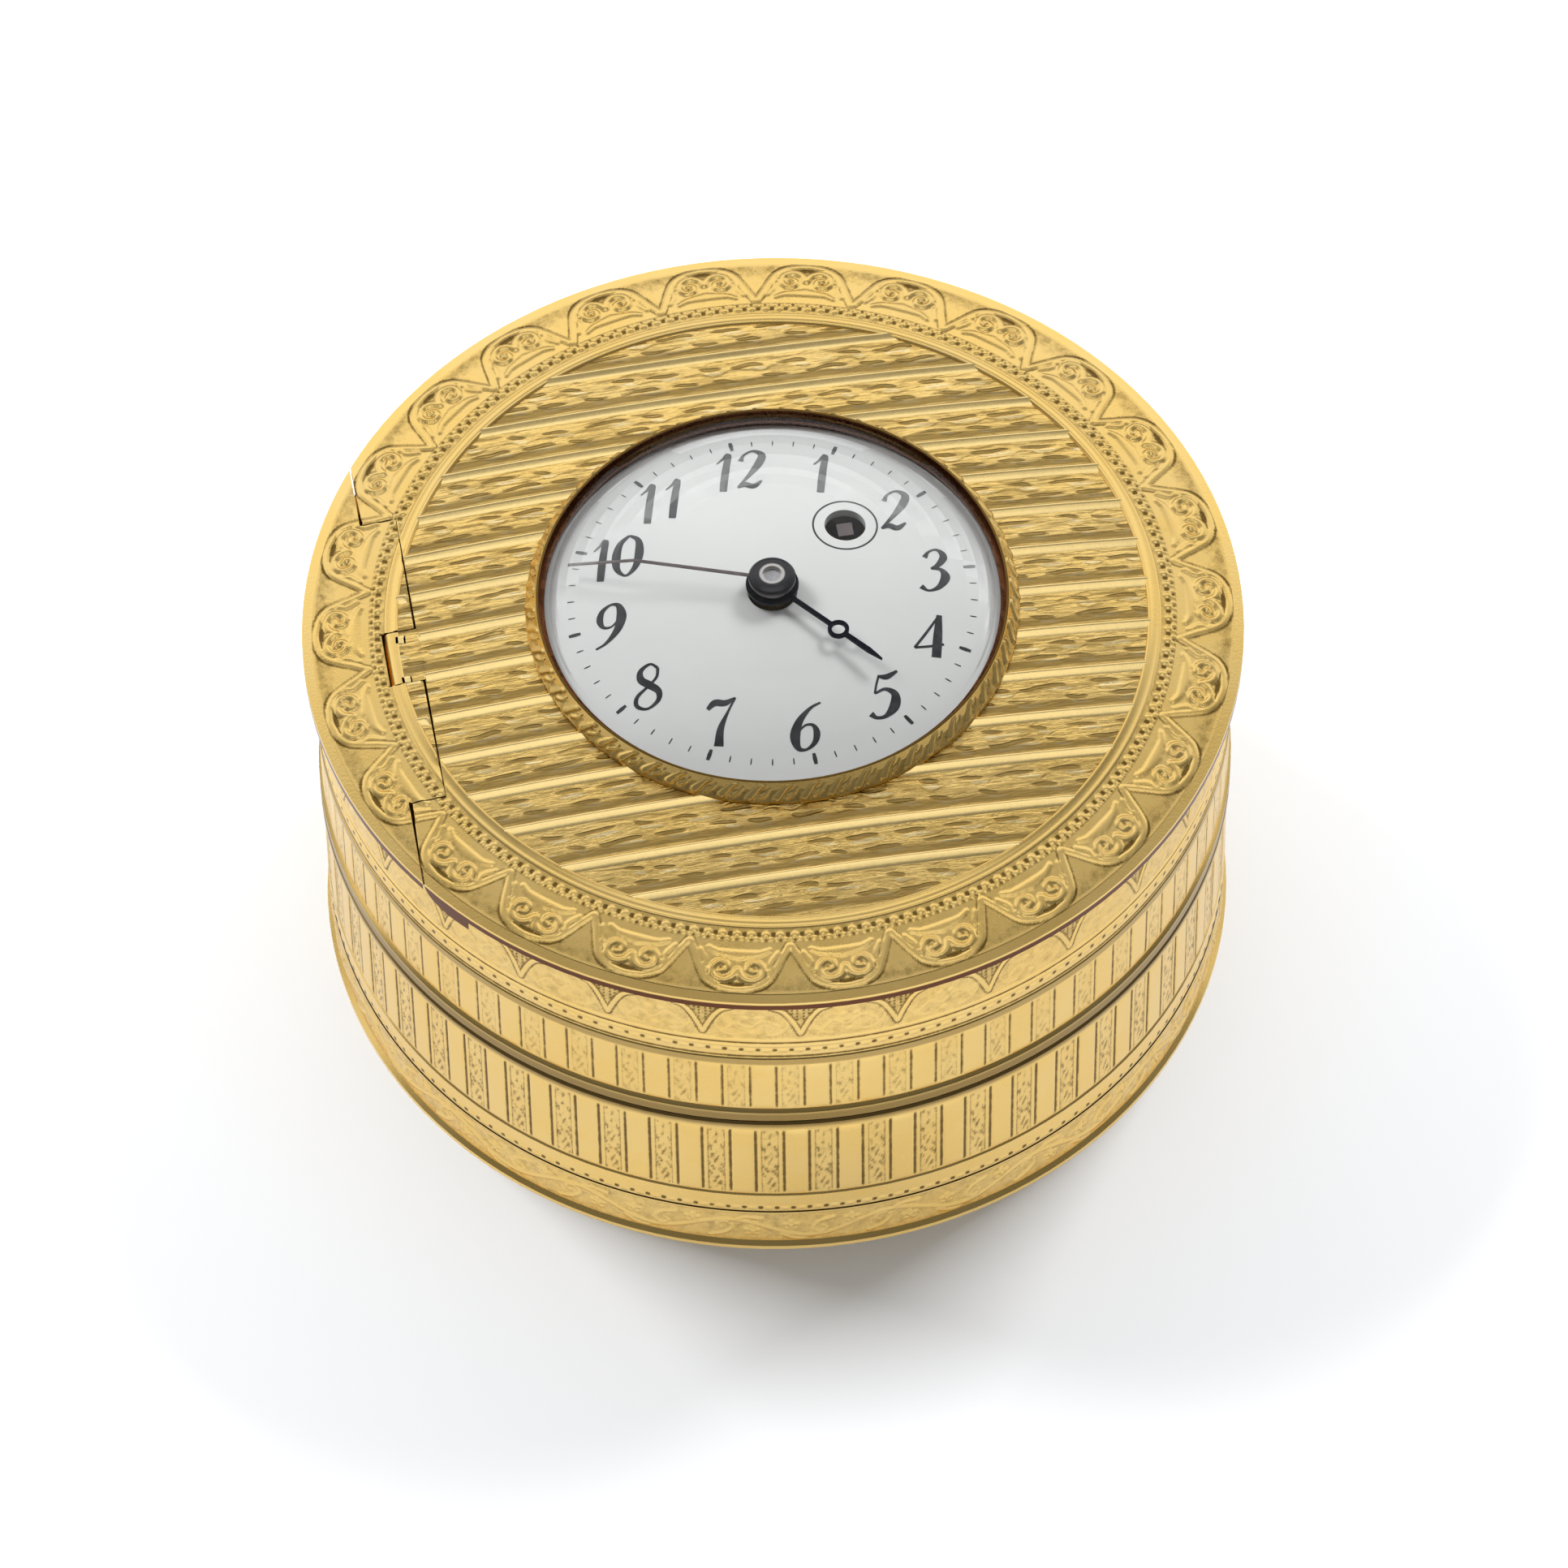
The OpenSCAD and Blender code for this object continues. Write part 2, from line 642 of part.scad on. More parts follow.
module dial() {
    r = dial_d / 2;
    rs = steps(0, r, 10);
    color(enamel) difference() {
        rotate_extrude() polygon(concat(
            [for (x = rs) [x, dial_z(x) - dial_t]],
            [for (i = [10:-1:0]) [rs[i], dial_z(rs[i])]]
        ));
        translate([0, 0, dial_low - 1]) cylinder(r = dial_hole_d / 2, h = dial_rise + dial_t + 2);
        at(wind_p, dial_low - 1) cylinder(r = wind_hole_d / 2, h = dial_rise + dial_t + 2, $fn = 64);
        for (a = dial_foot_angles) at(polar(dial_foot_r, a), dial_low - 1)
            cylinder(r = dial_foot_d / 2 + slack, h = dial_foot_top - dial_low + 1, $fn = 32);
    }
}

module dial_feet() {
    color([0.72, 0.45, 0.3]) for (a = dial_foot_angles)
        at(polar(dial_foot_r, a), seat_top + 0.2)
        cylinder(r = dial_foot_d / 2, h = dial_foot_top - seat_top - 0.2, $fn = 32);
}

staff_r = 0.35;
collet_r = 0.6;
train_pivot_r = 0.24;
barrel_pivot_r = 0.7;
centre_pivot_r = 0.5;
minute_stud_r = 0.45;
pillar_screw_l = 2.2;
cock_head_r = 1.3;
cock_foot_r = 1.5;
end_piece_r = 0.6;
end_piece_t = 0.3;
index_t = 0.3;
index_hole_r = 0.45;

module balance_cock() {
    arm_w = 2.2;
    color(brass) difference() {
        union() {
            at(balance_p, cock_low) cylinder(r = cock_head_r, h = cock_t, $fn = 64);
            at(balance_p, cock_low) rotate(stud_angle) translate([0, -arm_w / 2, 0])
                cube([norm(cock_foot_p - balance_p), arm_w, cock_t]);
            at(cock_foot_p, cock_low) cylinder(r = cock_foot_r, h = back_low - cock_low, $fn = 64);
        }
        at(balance_p, cock_low - 1)
            cylinder(r = train_pivot_r + pivot_fit, h = cock_t + 2, $fn = 32);
        at(balance_p, cock_low - 1) cylinder(r = end_piece_r, h = 1 + end_piece_t, $fn = 48);
        at(cock_foot_p, cock_low - 1)
            cylinder(r = screw_d / 2, h = back_low - cock_low + 2, $fn = 32);
    }
}

module cock_screws() {
    color(blued) at(cock_foot_p, cock_low) rotate([180, 0, 0])
        screw(screw_d / 2, back_top - cock_low - 0.1, screw_head_d / 2, screw_head_t * 0.9);
}

// Seat of the end stone, on which the regulator's index turns
module end_piece() {
    neck = index_t + 0.1;
    flange_t = 0.15;
    color(steel) at(balance_p, cock_low) {
        cylinder(r = end_piece_r, h = end_piece_t, $fn = 48);
        translate([0, 0, -neck]) cylinder(r = index_hole_r - pivot_fit, h = neck, $fn = 48);
        translate([0, 0, -neck - flange_t])
            cylinder(r = index_hole_r + 0.2, h = flange_t, $fn = 48);
    }
}

// The click bears on the ratchet from the side of its screws
ratchet_n = 18;
ratchet_r = 2.4;
ratchet_root_r = 2.0;
click_to_ratchet = atan2(click_p[1] - wind_p[1], click_p[0] - wind_p[0]);
click_reach = norm(click_p - wind_p);
function click_screw_places() = [
    wind_p + polar(click_reach - 0.2, click_to_ratchet),
    wind_p + polar(click_reach - 2.0, click_to_ratchet)
];

module click_spring() {
    color(steel) at(wind_p, ratchet_z - 0.1) rotate(click_to_ratchet) difference() {
        linear_extrude(height = ratchet_t + 0.1) polygon([
            [ratchet_root_r + 0.12, 0],
            [ratchet_r + 0.1, -0.28],
            [ratchet_r + 1.2, -0.5],
            [click_reach - 2.6, -0.8],
            [click_reach + 0.6, -0.8],
            [click_reach + 0.6, 0.8],
            [click_reach - 2.6, 0.8],
            [ratchet_r + 1.2, 0.2],
            [ratchet_r + 0.1, 0.02]
        ]);
        for (x = [click_reach - 0.2, click_reach - 2.0]) translate([x, 0, -1])
            cylinder(r = click_screw_d / 2, h = 3, $fn = 32);
    }
}

module click_screws() {
    color(blued) for (p = click_screw_places()) at(p, ratchet_z + ratchet_t)
        screw(click_screw_d / 2, ratchet_t + plate_t - 0.2, click_screw_d * 0.85, 0.3);
}

module minute_stud() {
    color(steel) at(motion_p, seat_top)
        cylinder(r = minute_stud_r, h = hour_wheel_z + hour_wheel_h - seat_top, $fn = 32);
}

hairspring_turns = 4;
hairspring_w = 0.07;
hairspring_r0 = collet_r - 0.02;
hairspring_r1 = 2.3;
stud_angle = atan2(cock_foot_p[1] - balance_p[1], cock_foot_p[0] - balance_p[0]);
stud_r = 0.3;

module hairspring_stud() {
    stud_p = balance_p + polar(hairspring_r1 + hairspring_w + stud_r + 0.02, stud_angle);
    color(steel) at(stud_p, cock_top)
        cylinder(r = stud_r, h = balance_z - cock_top - 0.1, $fn = 32);
}

// The cover with its bezel and glass

module top_cover() {
    hole_r = cover_hole_d / 2;
    under = steps(wall_r - plug_fit, hole_r, 8);
    cover_knuckles = [
        [upper_to + end_gap, cover_r],
        [mid_from + end_gap, mid_to - end_gap],
        [-cover_r, lower_from - end_gap]
    ];
    color(gold) difference() {
        intersection() {
            dome_body(hinge_z - knuckle_r - 1);
            union() {
                difference() {
                    rotate_extrude() polygon(concat(
                        [[hole_r, rim_top + dome_rise + 1], [cover_r + 1, rim_top + dome_rise + 1]],
                        [[cover_r + 1, rim_low]],
                        [for (r = under) [r, max(rim_low, dome_z(r) - cover_t)]]
                    ));
                    translate([-2 * cover_d - hinge_x + hinge_edge, -cover_d, -1])
                        cube([2 * cover_d, 2 * cover_d, 99]);
                }
                for (k = cover_knuckles) {
                    knuckle(k[0], k[1]);
                    knuckle_web(k[0], k[1], 1);
                }
            }
        }
        hinge_bore(pin_d / 2 + pin_fit);
    }
}

module cover_lip() {
    plug_r = wall_r - plug_fit;
    color(gold) difference() {
        rotate_extrude() polygon([
            [plug_r - plug_t, band_top - plug_depth],
            [plug_r, band_top - plug_depth],
            [plug_r, band_top + slack],
            [drum_r - reed_setback, band_top + slack],
            [drum_r - reed_setback, rim_low],
            [plug_r - plug_t, rim_low]
        ]);
        translate([-2 * cover_d - hinge_x + hinge_edge + 0.2, -cover_d, -1])
            cube([2 * cover_d, 2 * cover_d, 99]);
    }
}

module glass_bezel() {
    hole_r = cover_hole_d / 2;
    flange_r = bezel_d / 2;
    lip_r = bezel_lip_d / 2;
    rebate_r = glass_r + slack;
    color(gold) rotate_extrude() polygon([
        [hole_r - spigot_t, dome_z(hole_r) - cover_t + 0.25],
        [hole_r, dome_z(hole_r) - cover_t + 0.25],
        [hole_r, bezel_seat_z],
        [flange_r, bezel_seat_z],
        [flange_r, bezel_seat_z + bezel_edge_t],
        [flange_r - 0.4, bezel_seat_z + 0.55 * bezel_h],
        [rebate_r + 0.2, bezel_top],
        [rebate_r, bezel_top],
        [rebate_r, glass_seat_z],
        [lip_r, glass_seat_z],
        [lip_r, lip_under_z],
        [hole_r - spigot_t, lip_under_z]
    ]);
}

// Inner face of the glass: flat in the middle, steep at the edge
function glass_z(r) = glass_rise * pow(1 - pow(r / glass_r, 2.6), 0.8);

module crystal() {
    rs = [for (a = steps(0, 90, 12)) glass_r * sin(a)];
    scale_out = (glass_rise + glass_t) / glass_rise;
    color([0.8, 0.9, 0.95, 0.35]) rotate_extrude() polygon(concat(
        [for (i = [0:11]) [max(0, rs[i] - glass_t * rs[i] / glass_r),
            glass_seat_z + glass_z(rs[i])]],
        [[glass_r - glass_t, glass_seat_z], [glass_r, glass_seat_z]],
        [for (i = [11:-1:0]) [rs[i], glass_seat_z + 0.35 * rs[i] / glass_r
            + glass_z(rs[i]) * scale_out]]
    ));
}

// Winding arbor, ratchet, barrel and mainspring

module winding_arbor() {
    square_low = ratchet_z - 0.05;
    square_top = dial_z(wind_r) - 0.5;
    color(steel) at(wind_p) {
        translate([0, 0, barrel_low - 0.3])
            cylinder(r = barrel_arbor_d / 2, h = square_low - barrel_low + 0.3, $fn = 48);
        translate([0, 0, back_low + bore_fit])
            cylinder(r = barrel_pivot_r, h = barrel_low - back_low - bore_fit, $fn = 48);
        translate([-wind_square / 2, -wind_square / 2, square_low - 0.1])
            cube([wind_square, wind_square, square_top - square_low + 0.1]);
    }
}

module ratchet_wheel() {
    pitch = 360 / ratchet_n;
    color(steel) at(wind_p, ratchet_z) linear_extrude(height = ratchet_t) difference() {
        polygon([for (i = [0:ratchet_n - 1]) let (a = click_to_ratchet + pitch * i) each [
            polar(ratchet_root_r, a),
            polar(ratchet_r, a + 0.62 * pitch),
            polar(ratchet_r, a + 0.72 * pitch),
            polar(ratchet_root_r, a + 0.8 * pitch)
        ]]);
        square(wind_square, center = true);
    }
}

barrel_end_t = 0.4;
barrel_phase = mesh_phase(centre_pinion_n, 0, barrel_n, wind_angle);

module barrel_drum() {
    bore = barrel_arbor_d / 2 + pivot_fit;
    color(brass) at(wind_p) difference() {
        union() {
            translate([0, 0, barrel_low]) cylinder(r = drum_barrel_d / 2, h = barrel_h - barrel_end_t);
            translate([0, 0, barrel_low]) linear_extrude(height = barrel_rim_h)
                polygon(gear_points(barrel_n, barrel_m, barrel_phase));
        }
        translate([0, 0, barrel_low - 1]) cylinder(r = bore, h = barrel_h + 2, $fn = 48);
        translate([0, 0, barrel_low + barrel_end_t])
            cylinder(r = drum_barrel_d / 2 - barrel_wall, h = barrel_h);
    }
}

module barrel_lid() {
    color(brass) at(wind_p, barrel_top - barrel_end_t)
        ring(drum_barrel_d / 2, barrel_arbor_d / 2 + pivot_fit, barrel_end_t);
}

// Flat spiral strip from r0 to r1
module spiral(r0, r1, turns, thick, h) {
    n = turns * 24;
    linear_extrude(height = h) polygon(concat(
        [for (i = [0:n]) polar(r0 + (r1 - r0) * i / n, 15 * i)],
        [for (i = [n:-1:0]) polar(r0 + thick + (r1 - r0) * i / n, 15 * i)]
    ));
}

module mainspring() {
    thick = 0.18;
    gap = 0.15;
    color(steel) at(wind_p, barrel_low + barrel_end_t + gap)
        spiral(barrel_arbor_d / 2 + gap, drum_barrel_d / 2 - barrel_wall - thick + 0.01, 7, thick,
            barrel_h - 2 * barrel_end_t - 2 * gap);
}

// Going train

module centre_arbor() {
    pinion_low = barrel_low - 0.1;
    body_r = 0.75;
    color(steel) {
        translate([0, 0, back_top + bore_fit]) cylinder(r = body_r, h = pillar_h - 2 * bore_fit, $fn = 48);
        translate([0, 0, back_low + bore_fit])
            cylinder(r = centre_pivot_r, h = back_t, $fn = 48);
        translate([0, 0, seat_top - bore_fit - 0.1])
            cylinder(r = centre_arbor_d / 2, h = boss_z + boss_h - 0.25 - seat_top + bore_fit + 0.1, $fn = 48);
        translate([0, 0, pinion_low]) linear_extrude(height = barrel_rim_h + 0.2)
            polygon(gear_points(centre_pinion_n, barrel_m, 0));
    }
}

module centre_wheel() {
    color(brass) translate([0, 0, centre_wheel_z])
        wheel(centre_wheel_n, centre_m, 0, wheel_t, 0.75);
}

module cannon_pinion() {
    color(steel) difference() {
        union() {
            translate([0, 0, cannon_z]) linear_extrude(height = cannon_leaf_h)
                polygon(gear_points(cannon_n, cannon_m, 0));
            translate([0, 0, cannon_z + cannon_leaf_h - 0.01])
                cylinder(r = cannon_pipe_r, h = boss_z - cannon_z - cannon_leaf_h + 0.01, $fn = 48);
            translate([0, 0, minute_hand_z - 0.25])
                cylinder(r = boss_d / 2 - 0.1, h = 0.25, $fn = 64);
        }
        translate([0, 0, cannon_z - 1])
            cylinder(r = centre_arbor_d / 2, h = boss_z - cannon_z + 2, $fn = 48);
    }
}

module minute_hand() {
    eye_r = boss_d / 2;
    low = minute_hand_z - minute_drop;
    color(blued) rotate(minute_angle) difference() {
        union() {
            translate([0, 0, minute_hand_z]) cylinder(r = eye_r, h = minute_t, $fn = 64);
            intersection() {
                translate([0, minute_w, 0]) rotate([90, 0, 0])
                    linear_extrude(height = 2 * minute_w) polygon([
                        [cannon_pipe_r + 0.2, minute_hand_z],
                        [minute_bend_r, minute_hand_z],
                        [minute_l, low],
                        [minute_l, low + minute_t],
                        [minute_bend_r, minute_hand_z + minute_t],
                        [cannon_pipe_r + 0.2, minute_hand_z + minute_t]
                    ]);
                translate([0, 0, low - 1]) linear_extrude(height = minute_drop + 3) polygon([
                    [cannon_pipe_r, -minute_w / 2],
                    [minute_l, -minute_w * 0.35],
                    [minute_l, minute_w * 0.35],
                    [cannon_pipe_r, minute_w / 2]
                ]);
            }
        }
        translate([0, 0, minute_hand_z - 1]) cylinder(r = cannon_pipe_r, h = 3, $fn = 48);
    }
}

module hand_boss() {
    r = boss_d / 2;
    color(steel) translate([0, 0, boss_z]) difference() {
        rotate_extrude() polygon([
            [0, 0],
            [r, 0],
            [r, 0.35 * boss_h],
            [r - 0.12, 0.7 * boss_h],
            [r - 0.4, 0.95 * boss_h],
            [r - 0.6, boss_h],
            [0, boss_h]
        ]);
        translate([0, 0, -1]) cylinder(r = centre_arbor_d / 2, h = 3, $fn = 48);
        translate([0, 0, boss_h - 0.2]) cylinder(r = centre_arbor_d / 2 + 0.12, h = 1, $fn = 48);
    }
}

minute_pinion_phase = 0;
minute_phase = mesh_phase(cannon_n, 0, minute_wheel_n, motion_angle);
hour_phase = mesh_phase(minute_pinion_n, minute_pinion_phase, hour_wheel_n, motion_angle + 180);

module minute_wheel() {
    bore = minute_stud_r + pivot_fit;
    color(brass) at(motion_p, minute_wheel_z) difference() {
        union() {
            linear_extrude(height = minute_wheel_h)
                polygon(gear_points(minute_wheel_n, cannon_m, minute_phase));
            linear_extrude(height = hour_wheel_z + hour_wheel_h - minute_wheel_z)
                polygon(gear_points(minute_pinion_n, hour_m, minute_pinion_phase));
        }
        translate([0, 0, -1])
            cylinder(r = bore, h = hour_wheel_z + hour_wheel_h - minute_wheel_z + 2, $fn = 48);
    }
}

module hour_wheel() {
    color(brass) difference() {
        union() {
            translate([0, 0, hour_wheel_z]) linear_extrude(height = hour_wheel_h)
                polygon(gear_points(hour_wheel_n, hour_m, hour_phase));
            translate([0, 0, hour_wheel_z])
                cylinder(r = hour_pipe_r, h = hour_hand_z + hour_t - hour_wheel_z, $fn = 48);
        }
        translate([0, 0, hour_wheel_z - 1])
            cylinder(r = cannon_pipe_r + pivot_fit, h = hour_hand_z - hour_wheel_z + 3, $fn = 48);
    }
}

module hour_hand() {
    ring_r = hour_ring_d / 2;
    ring_in = ring_r - 0.28;
    color(blued) translate([0, 0, hour_hand_z]) rotate(hour_angle)
        linear_extrude(height = hour_t) difference() {
            union() {
                circle(r = hour_pipe_r + 0.5);
                translate([hour_ring_r, 0]) circle(r = ring_r, $fn = 48);
                polygon([
                    [hour_pipe_r, -hour_w / 2],
                    [hour_ring_r, -hour_w / 2],
                    [hour_l - 1.2, -hour_w * 0.6],
                    [hour_l, -0.04],
                    [hour_l, 0.04],
                    [hour_l - 1.2, hour_w * 0.6],
                    [hour_ring_r, hour_w / 2],
                    [hour_pipe_r, hour_w / 2]
                ]);
            }
            circle(r = hour_pipe_r);
            translate([hour_ring_r, 0]) circle(r = ring_in, $fn = 48);
        }
}

module third_arbor() {
    color(steel) at(third_p) train_arbor(0.42, train_pivot_r, third_pinion_n, centre_m,
        mesh_phase(centre_wheel_n, 0, third_pinion_n, third_angle),
        centre_wheel_z - 0.3, centre_wheel_z + wheel_t + 0.3);
}

module third_wheel() {
    color(brass) at(third_p, third_wheel_z) wheel(third_wheel_n, third_m, 0, wheel_t, 0.42);
}

module fourth_arbor() {
    color(steel) at(fourth_p) train_arbor(0.36, train_pivot_r, fourth_pinion_n, third_m,
        mesh_phase(third_wheel_n, 0, fourth_pinion_n, fourth_angle),
        third_wheel_z - 0.2, third_wheel_z + wheel_t + 0.2);
}

module fourth_wheel() {
    color(brass) at(fourth_p, fourth_wheel_z) wheel(fourth_wheel_n, fourth_m, 0, wheel_t, 0.36);
}

module escape_arbor() {
    color(steel) at(escape_p) train_arbor(0.32, train_pivot_r, escape_pinion_n, fourth_m,
        mesh_phase(fourth_wheel_n, 0, escape_pinion_n, escape_angle),
        fourth_wheel_z - 0.3, fourth_wheel_z + wheel_t + 0.3);
}

escape_n = 15;
escape_tip_r = 2.6;

module escape_wheel() {
    pitch = 360 / escape_n;
    color(brass) at(escape_p, escape_wheel_z) linear_extrude(height = wheel_t) difference() {
        polygon([for (i = [0:escape_n - 1]) let (a = pitch * i) each [
            polar(escape_tip_r - 0.75, a + 0.1 * pitch),
            polar(escape_tip_r - 0.15, a + 0.12 * pitch),
            polar(escape_tip_r, a + 0.5 * pitch),
            polar(escape_tip_r - 0.35, a + 0.48 * pitch),
            polar(escape_tip_r - 0.75, a + 0.3 * pitch)
        ]]);
        circle(r = 0.32);
        for (i = [0:3]) polygon(window_points(0.75, escape_tip_r - 1.15, 0.4, i, 4));
    }
}

// Balance, hairspring and regulator

module balance_staff() {
    color(steel) at(balance_p) {
        translate([0, 0, balance_z - 0.1])
            cylinder(r = staff_r, h = seat_top - bore_fit - balance_z + 0.1, $fn = 48);
        translate([0, 0, hairspring_z - 0.05])
            cylinder(r = collet_r, h = balance_z - hairspring_z + 0.05, $fn = 48);
        translate([0, 0, cock_low + end_piece_t + 0.05])
            cylinder(r = train_pivot_r, h = seat_top + 0.8 - cock_low - end_piece_t, $fn = 32);
    }
}

module balance_wheel() {
    outer = balance_d / 2;
    inner = outer - balance_rim_w;
    color(brass) at(balance_p, balance_z) difference() {
        cylinder(r = outer, h = balance_t);
        translate([0, 0, -1]) cylinder(r = staff_r, h = balance_t + 2, $fn = 48);
        translate([0, 0, -1]) linear_extrude(height = balance_t + 2) for (i = [0:2])
            polygon(window_points(1.0, inner, 0.6, i, 3));
    }
}

module hairspring() {
    color(blued) at(balance_p, hairspring_z) rotate(stud_angle)
        spiral(hairspring_r0, hairspring_r1, hairspring_turns, hairspring_w, hairspring_h);
}

// The index's two pins stand on either side of the hairspring's outer coil,
// half a turn from its end
module regulator_index() {
    index_z = cock_low - index_t - slack;
    coil_r = hairspring_r1 - (hairspring_r1 - hairspring_r0) / hairspring_turns / 2 + hairspring_w / 2;
    pin_r = 0.08;
    pin_gap = 0.2;
    color(steel) at(balance_p, index_z) rotate(stud_angle + 180) {
        linear_extrude(height = index_t) difference() {
            union() {
                circle(r = 1.1);
                polygon([[0.5, -0.35], [4.2, -0.15], [4.2, 0.15], [0.5, 0.35]]);
            }
            circle(r = index_hole_r, $fn = 48);
        }
        for (x = [coil_r - pin_gap, coil_r + pin_gap]) translate([x, 0, index_t - 0.01])
            cylinder(r = pin_r, h = hairspring_z + hairspring_h - index_z - index_t + 0.01, $fn = 24);
    }
}

base_wall();
base_plate();
gorge();
lid_band();
lid_partition();
movement_seat();
hinge_segment();
hinge_pin();
case_screws();
main_plate();
back_plate();
pillars();
pillar_screws();
dial();
dial_feet();
balance_cock();
cock_screws();
end_piece();
click_spring();
click_screws();
minute_stud();
hairspring_stud();
top_cover();
cover_lip();
glass_bezel();
crystal();
winding_arbor();
ratchet_wheel();
barrel_drum();
barrel_lid();
mainspring();
centre_arbor();
centre_wheel();
cannon_pinion();
minute_hand();
hand_boss();
hour_wheel();
hour_hand();
minute_wheel();
third_arbor();
third_wheel();
fourth_arbor();
fourth_wheel();
escape_arbor();
escape_wheel();
balance_staff();
balance_wheel();
hairspring();
regulator_index();
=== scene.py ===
# %% [markdown]
# The round gold box with a small clock in its lid, dressed for rendering.
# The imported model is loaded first. It brings the walls, the hinge, the movement, the dial and
# the hands at their real size. Everything made here is laid on it or stands for one of its nodes.

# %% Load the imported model
import json
import math

import bmesh
import bpy
import numpy as np
from mathutils import Matrix, Vector


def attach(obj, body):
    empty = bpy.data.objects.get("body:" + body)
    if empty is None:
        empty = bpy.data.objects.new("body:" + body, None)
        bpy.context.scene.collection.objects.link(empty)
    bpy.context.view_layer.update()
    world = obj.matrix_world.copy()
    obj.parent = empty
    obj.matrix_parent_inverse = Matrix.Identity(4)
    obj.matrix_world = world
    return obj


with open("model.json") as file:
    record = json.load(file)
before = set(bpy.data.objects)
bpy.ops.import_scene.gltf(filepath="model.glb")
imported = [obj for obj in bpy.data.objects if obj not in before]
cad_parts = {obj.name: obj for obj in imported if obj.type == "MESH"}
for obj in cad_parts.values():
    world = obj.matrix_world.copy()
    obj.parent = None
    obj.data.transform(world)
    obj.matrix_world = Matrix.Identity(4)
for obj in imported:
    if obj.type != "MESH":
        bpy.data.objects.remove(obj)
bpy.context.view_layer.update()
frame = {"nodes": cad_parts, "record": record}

print("nodes loaded:", len(frame["nodes"]))

# %% [markdown]
# All sizes are written in millimetres, as a case maker would give them, and turned into metres
# once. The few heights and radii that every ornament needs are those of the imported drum: its
# wall, the seam, and the dome of the cover, which rises 2.2 mm from its rim.

# %% Sizes that the ornament follows
MM = 0.001
WALL_R = 32.2
SEAM_Z = 15.4
RIM_Z = 30.4
RIM_R = 33.0
DOME_RISE = 2.2
HINGE_X = -26.1
HINGE_EDGE = 1.3


def dome_z(r):
    return RIM_Z + DOME_RISE * (1 - (r / RIM_R) ** 2)


def on_circle(r, degrees):
    return r * math.cos(math.radians(degrees)), r * math.sin(math.radians(degrees))


def add_object(name, data):
    holder = bpy.data.objects.new(name, data)
    bpy.context.collection.objects.link(holder)
    return holder


print("dome at the bezel:", round(dome_z(17.3), 2), "mm")

# %% [markdown]
# The camera comes next, so that every later piece can be judged from the photograph's side.
# The box is turned a little, so the camera stands 8.6 degrees round from its front, looks down
# at 52 degrees, and has a long lens, which keeps the ellipse of the cover nearly free of
# perspective. It aims a little below the cover's middle to place the box in the frame.

# %% Camera
CAMERA_TURN = 8.61
CAMERA_DOWN = 52.29
CAMERA_FAR = 700.0
CAMERA_ROLL = 0.9
LENS_PX = 12310.0
COVER_PX = (952.2, 764.3)
FRAME_PX = 1932.0

turn = math.radians(CAMERA_TURN)
down = math.radians(CAMERA_DOWN)
roll = math.radians(CAMERA_ROLL)
back = Vector((-math.sin(turn) * math.cos(down), -math.cos(turn) * math.cos(down), math.sin(down)))
right = Vector((math.cos(turn), -math.sin(turn), 0))
up = back.cross(right)
right_rolled = right * math.cos(roll) - up * math.sin(roll)
up_rolled = right * math.sin(roll) + up * math.cos(roll)
to_middle = (-back * LENS_PX
             + right_rolled * (FRAME_PX / 2 - COVER_PX[0])
             - up_rolled * (FRAME_PX / 2 - COVER_PX[1])).normalized()
axis_right = to_middle.cross(up_rolled).normalized()
axis_up = axis_right.cross(to_middle)
camera_data = bpy.data.cameras.new("camera")
camera_data.sensor_width = 36.0
camera_data.lens = LENS_PX / FRAME_PX * 36.0
camera_data.clip_end = 10.0
camera_data.clip_start = 0.01
camera = add_object("camera", camera_data)
turned = Matrix((axis_right, axis_up, -to_middle)).transposed().to_4x4()
camera.matrix_world = Matrix.Translation((Vector((0, 0, RIM_Z)) + back * CAMERA_FAR) * MM) @ turned
bpy.context.scene.camera = camera
print("lens:", round(camera_data.lens, 1), "mm")

# %% [markdown]
# Metal is judged by its shader, so the helpers for materials come before the first surface. A
# wrapped socket lets shader maths be written as plain Python, and one method adds every other
# kind of node, which keeps each finish below short enough to read.

# %% Shader maths
class Socket:
    """A value in a material's node tree, with Python's operators."""

    def __init__(self, finish, out):
        self.finish = finish
        self.out = out

    def math(self, operation, *values):
        node = self.finish.nodes.new("ShaderNodeMath")
        node.operation = operation
        for socket, value in zip(node.inputs, values):
            self.finish.put(socket, value)
        return Socket(self.finish, node.outputs[0])

    def __add__(self, other):
        return self.math("ADD", self, other)

    __radd__ = __add__

    def __sub__(self, other):
        return self.math("SUBTRACT", self, other)

    def __rsub__(self, other):
        return self.math("SUBTRACT", other, self)

    def __mul__(self, other):
        return self.math("MULTIPLY", self, other)

    __rmul__ = __mul__

    def __pow__(self, other):
        return self.math("POWER", self, other)

    def __abs__(self):
        return self.math("ABSOLUTE", self)

    def sine(self):
        return self.math("SINE", self)


def highest(values):
    """The largest of several shader values."""
    top = values[0]
    for value in values[1:]:
        top = top.math("MAXIMUM", top, value)
    return top


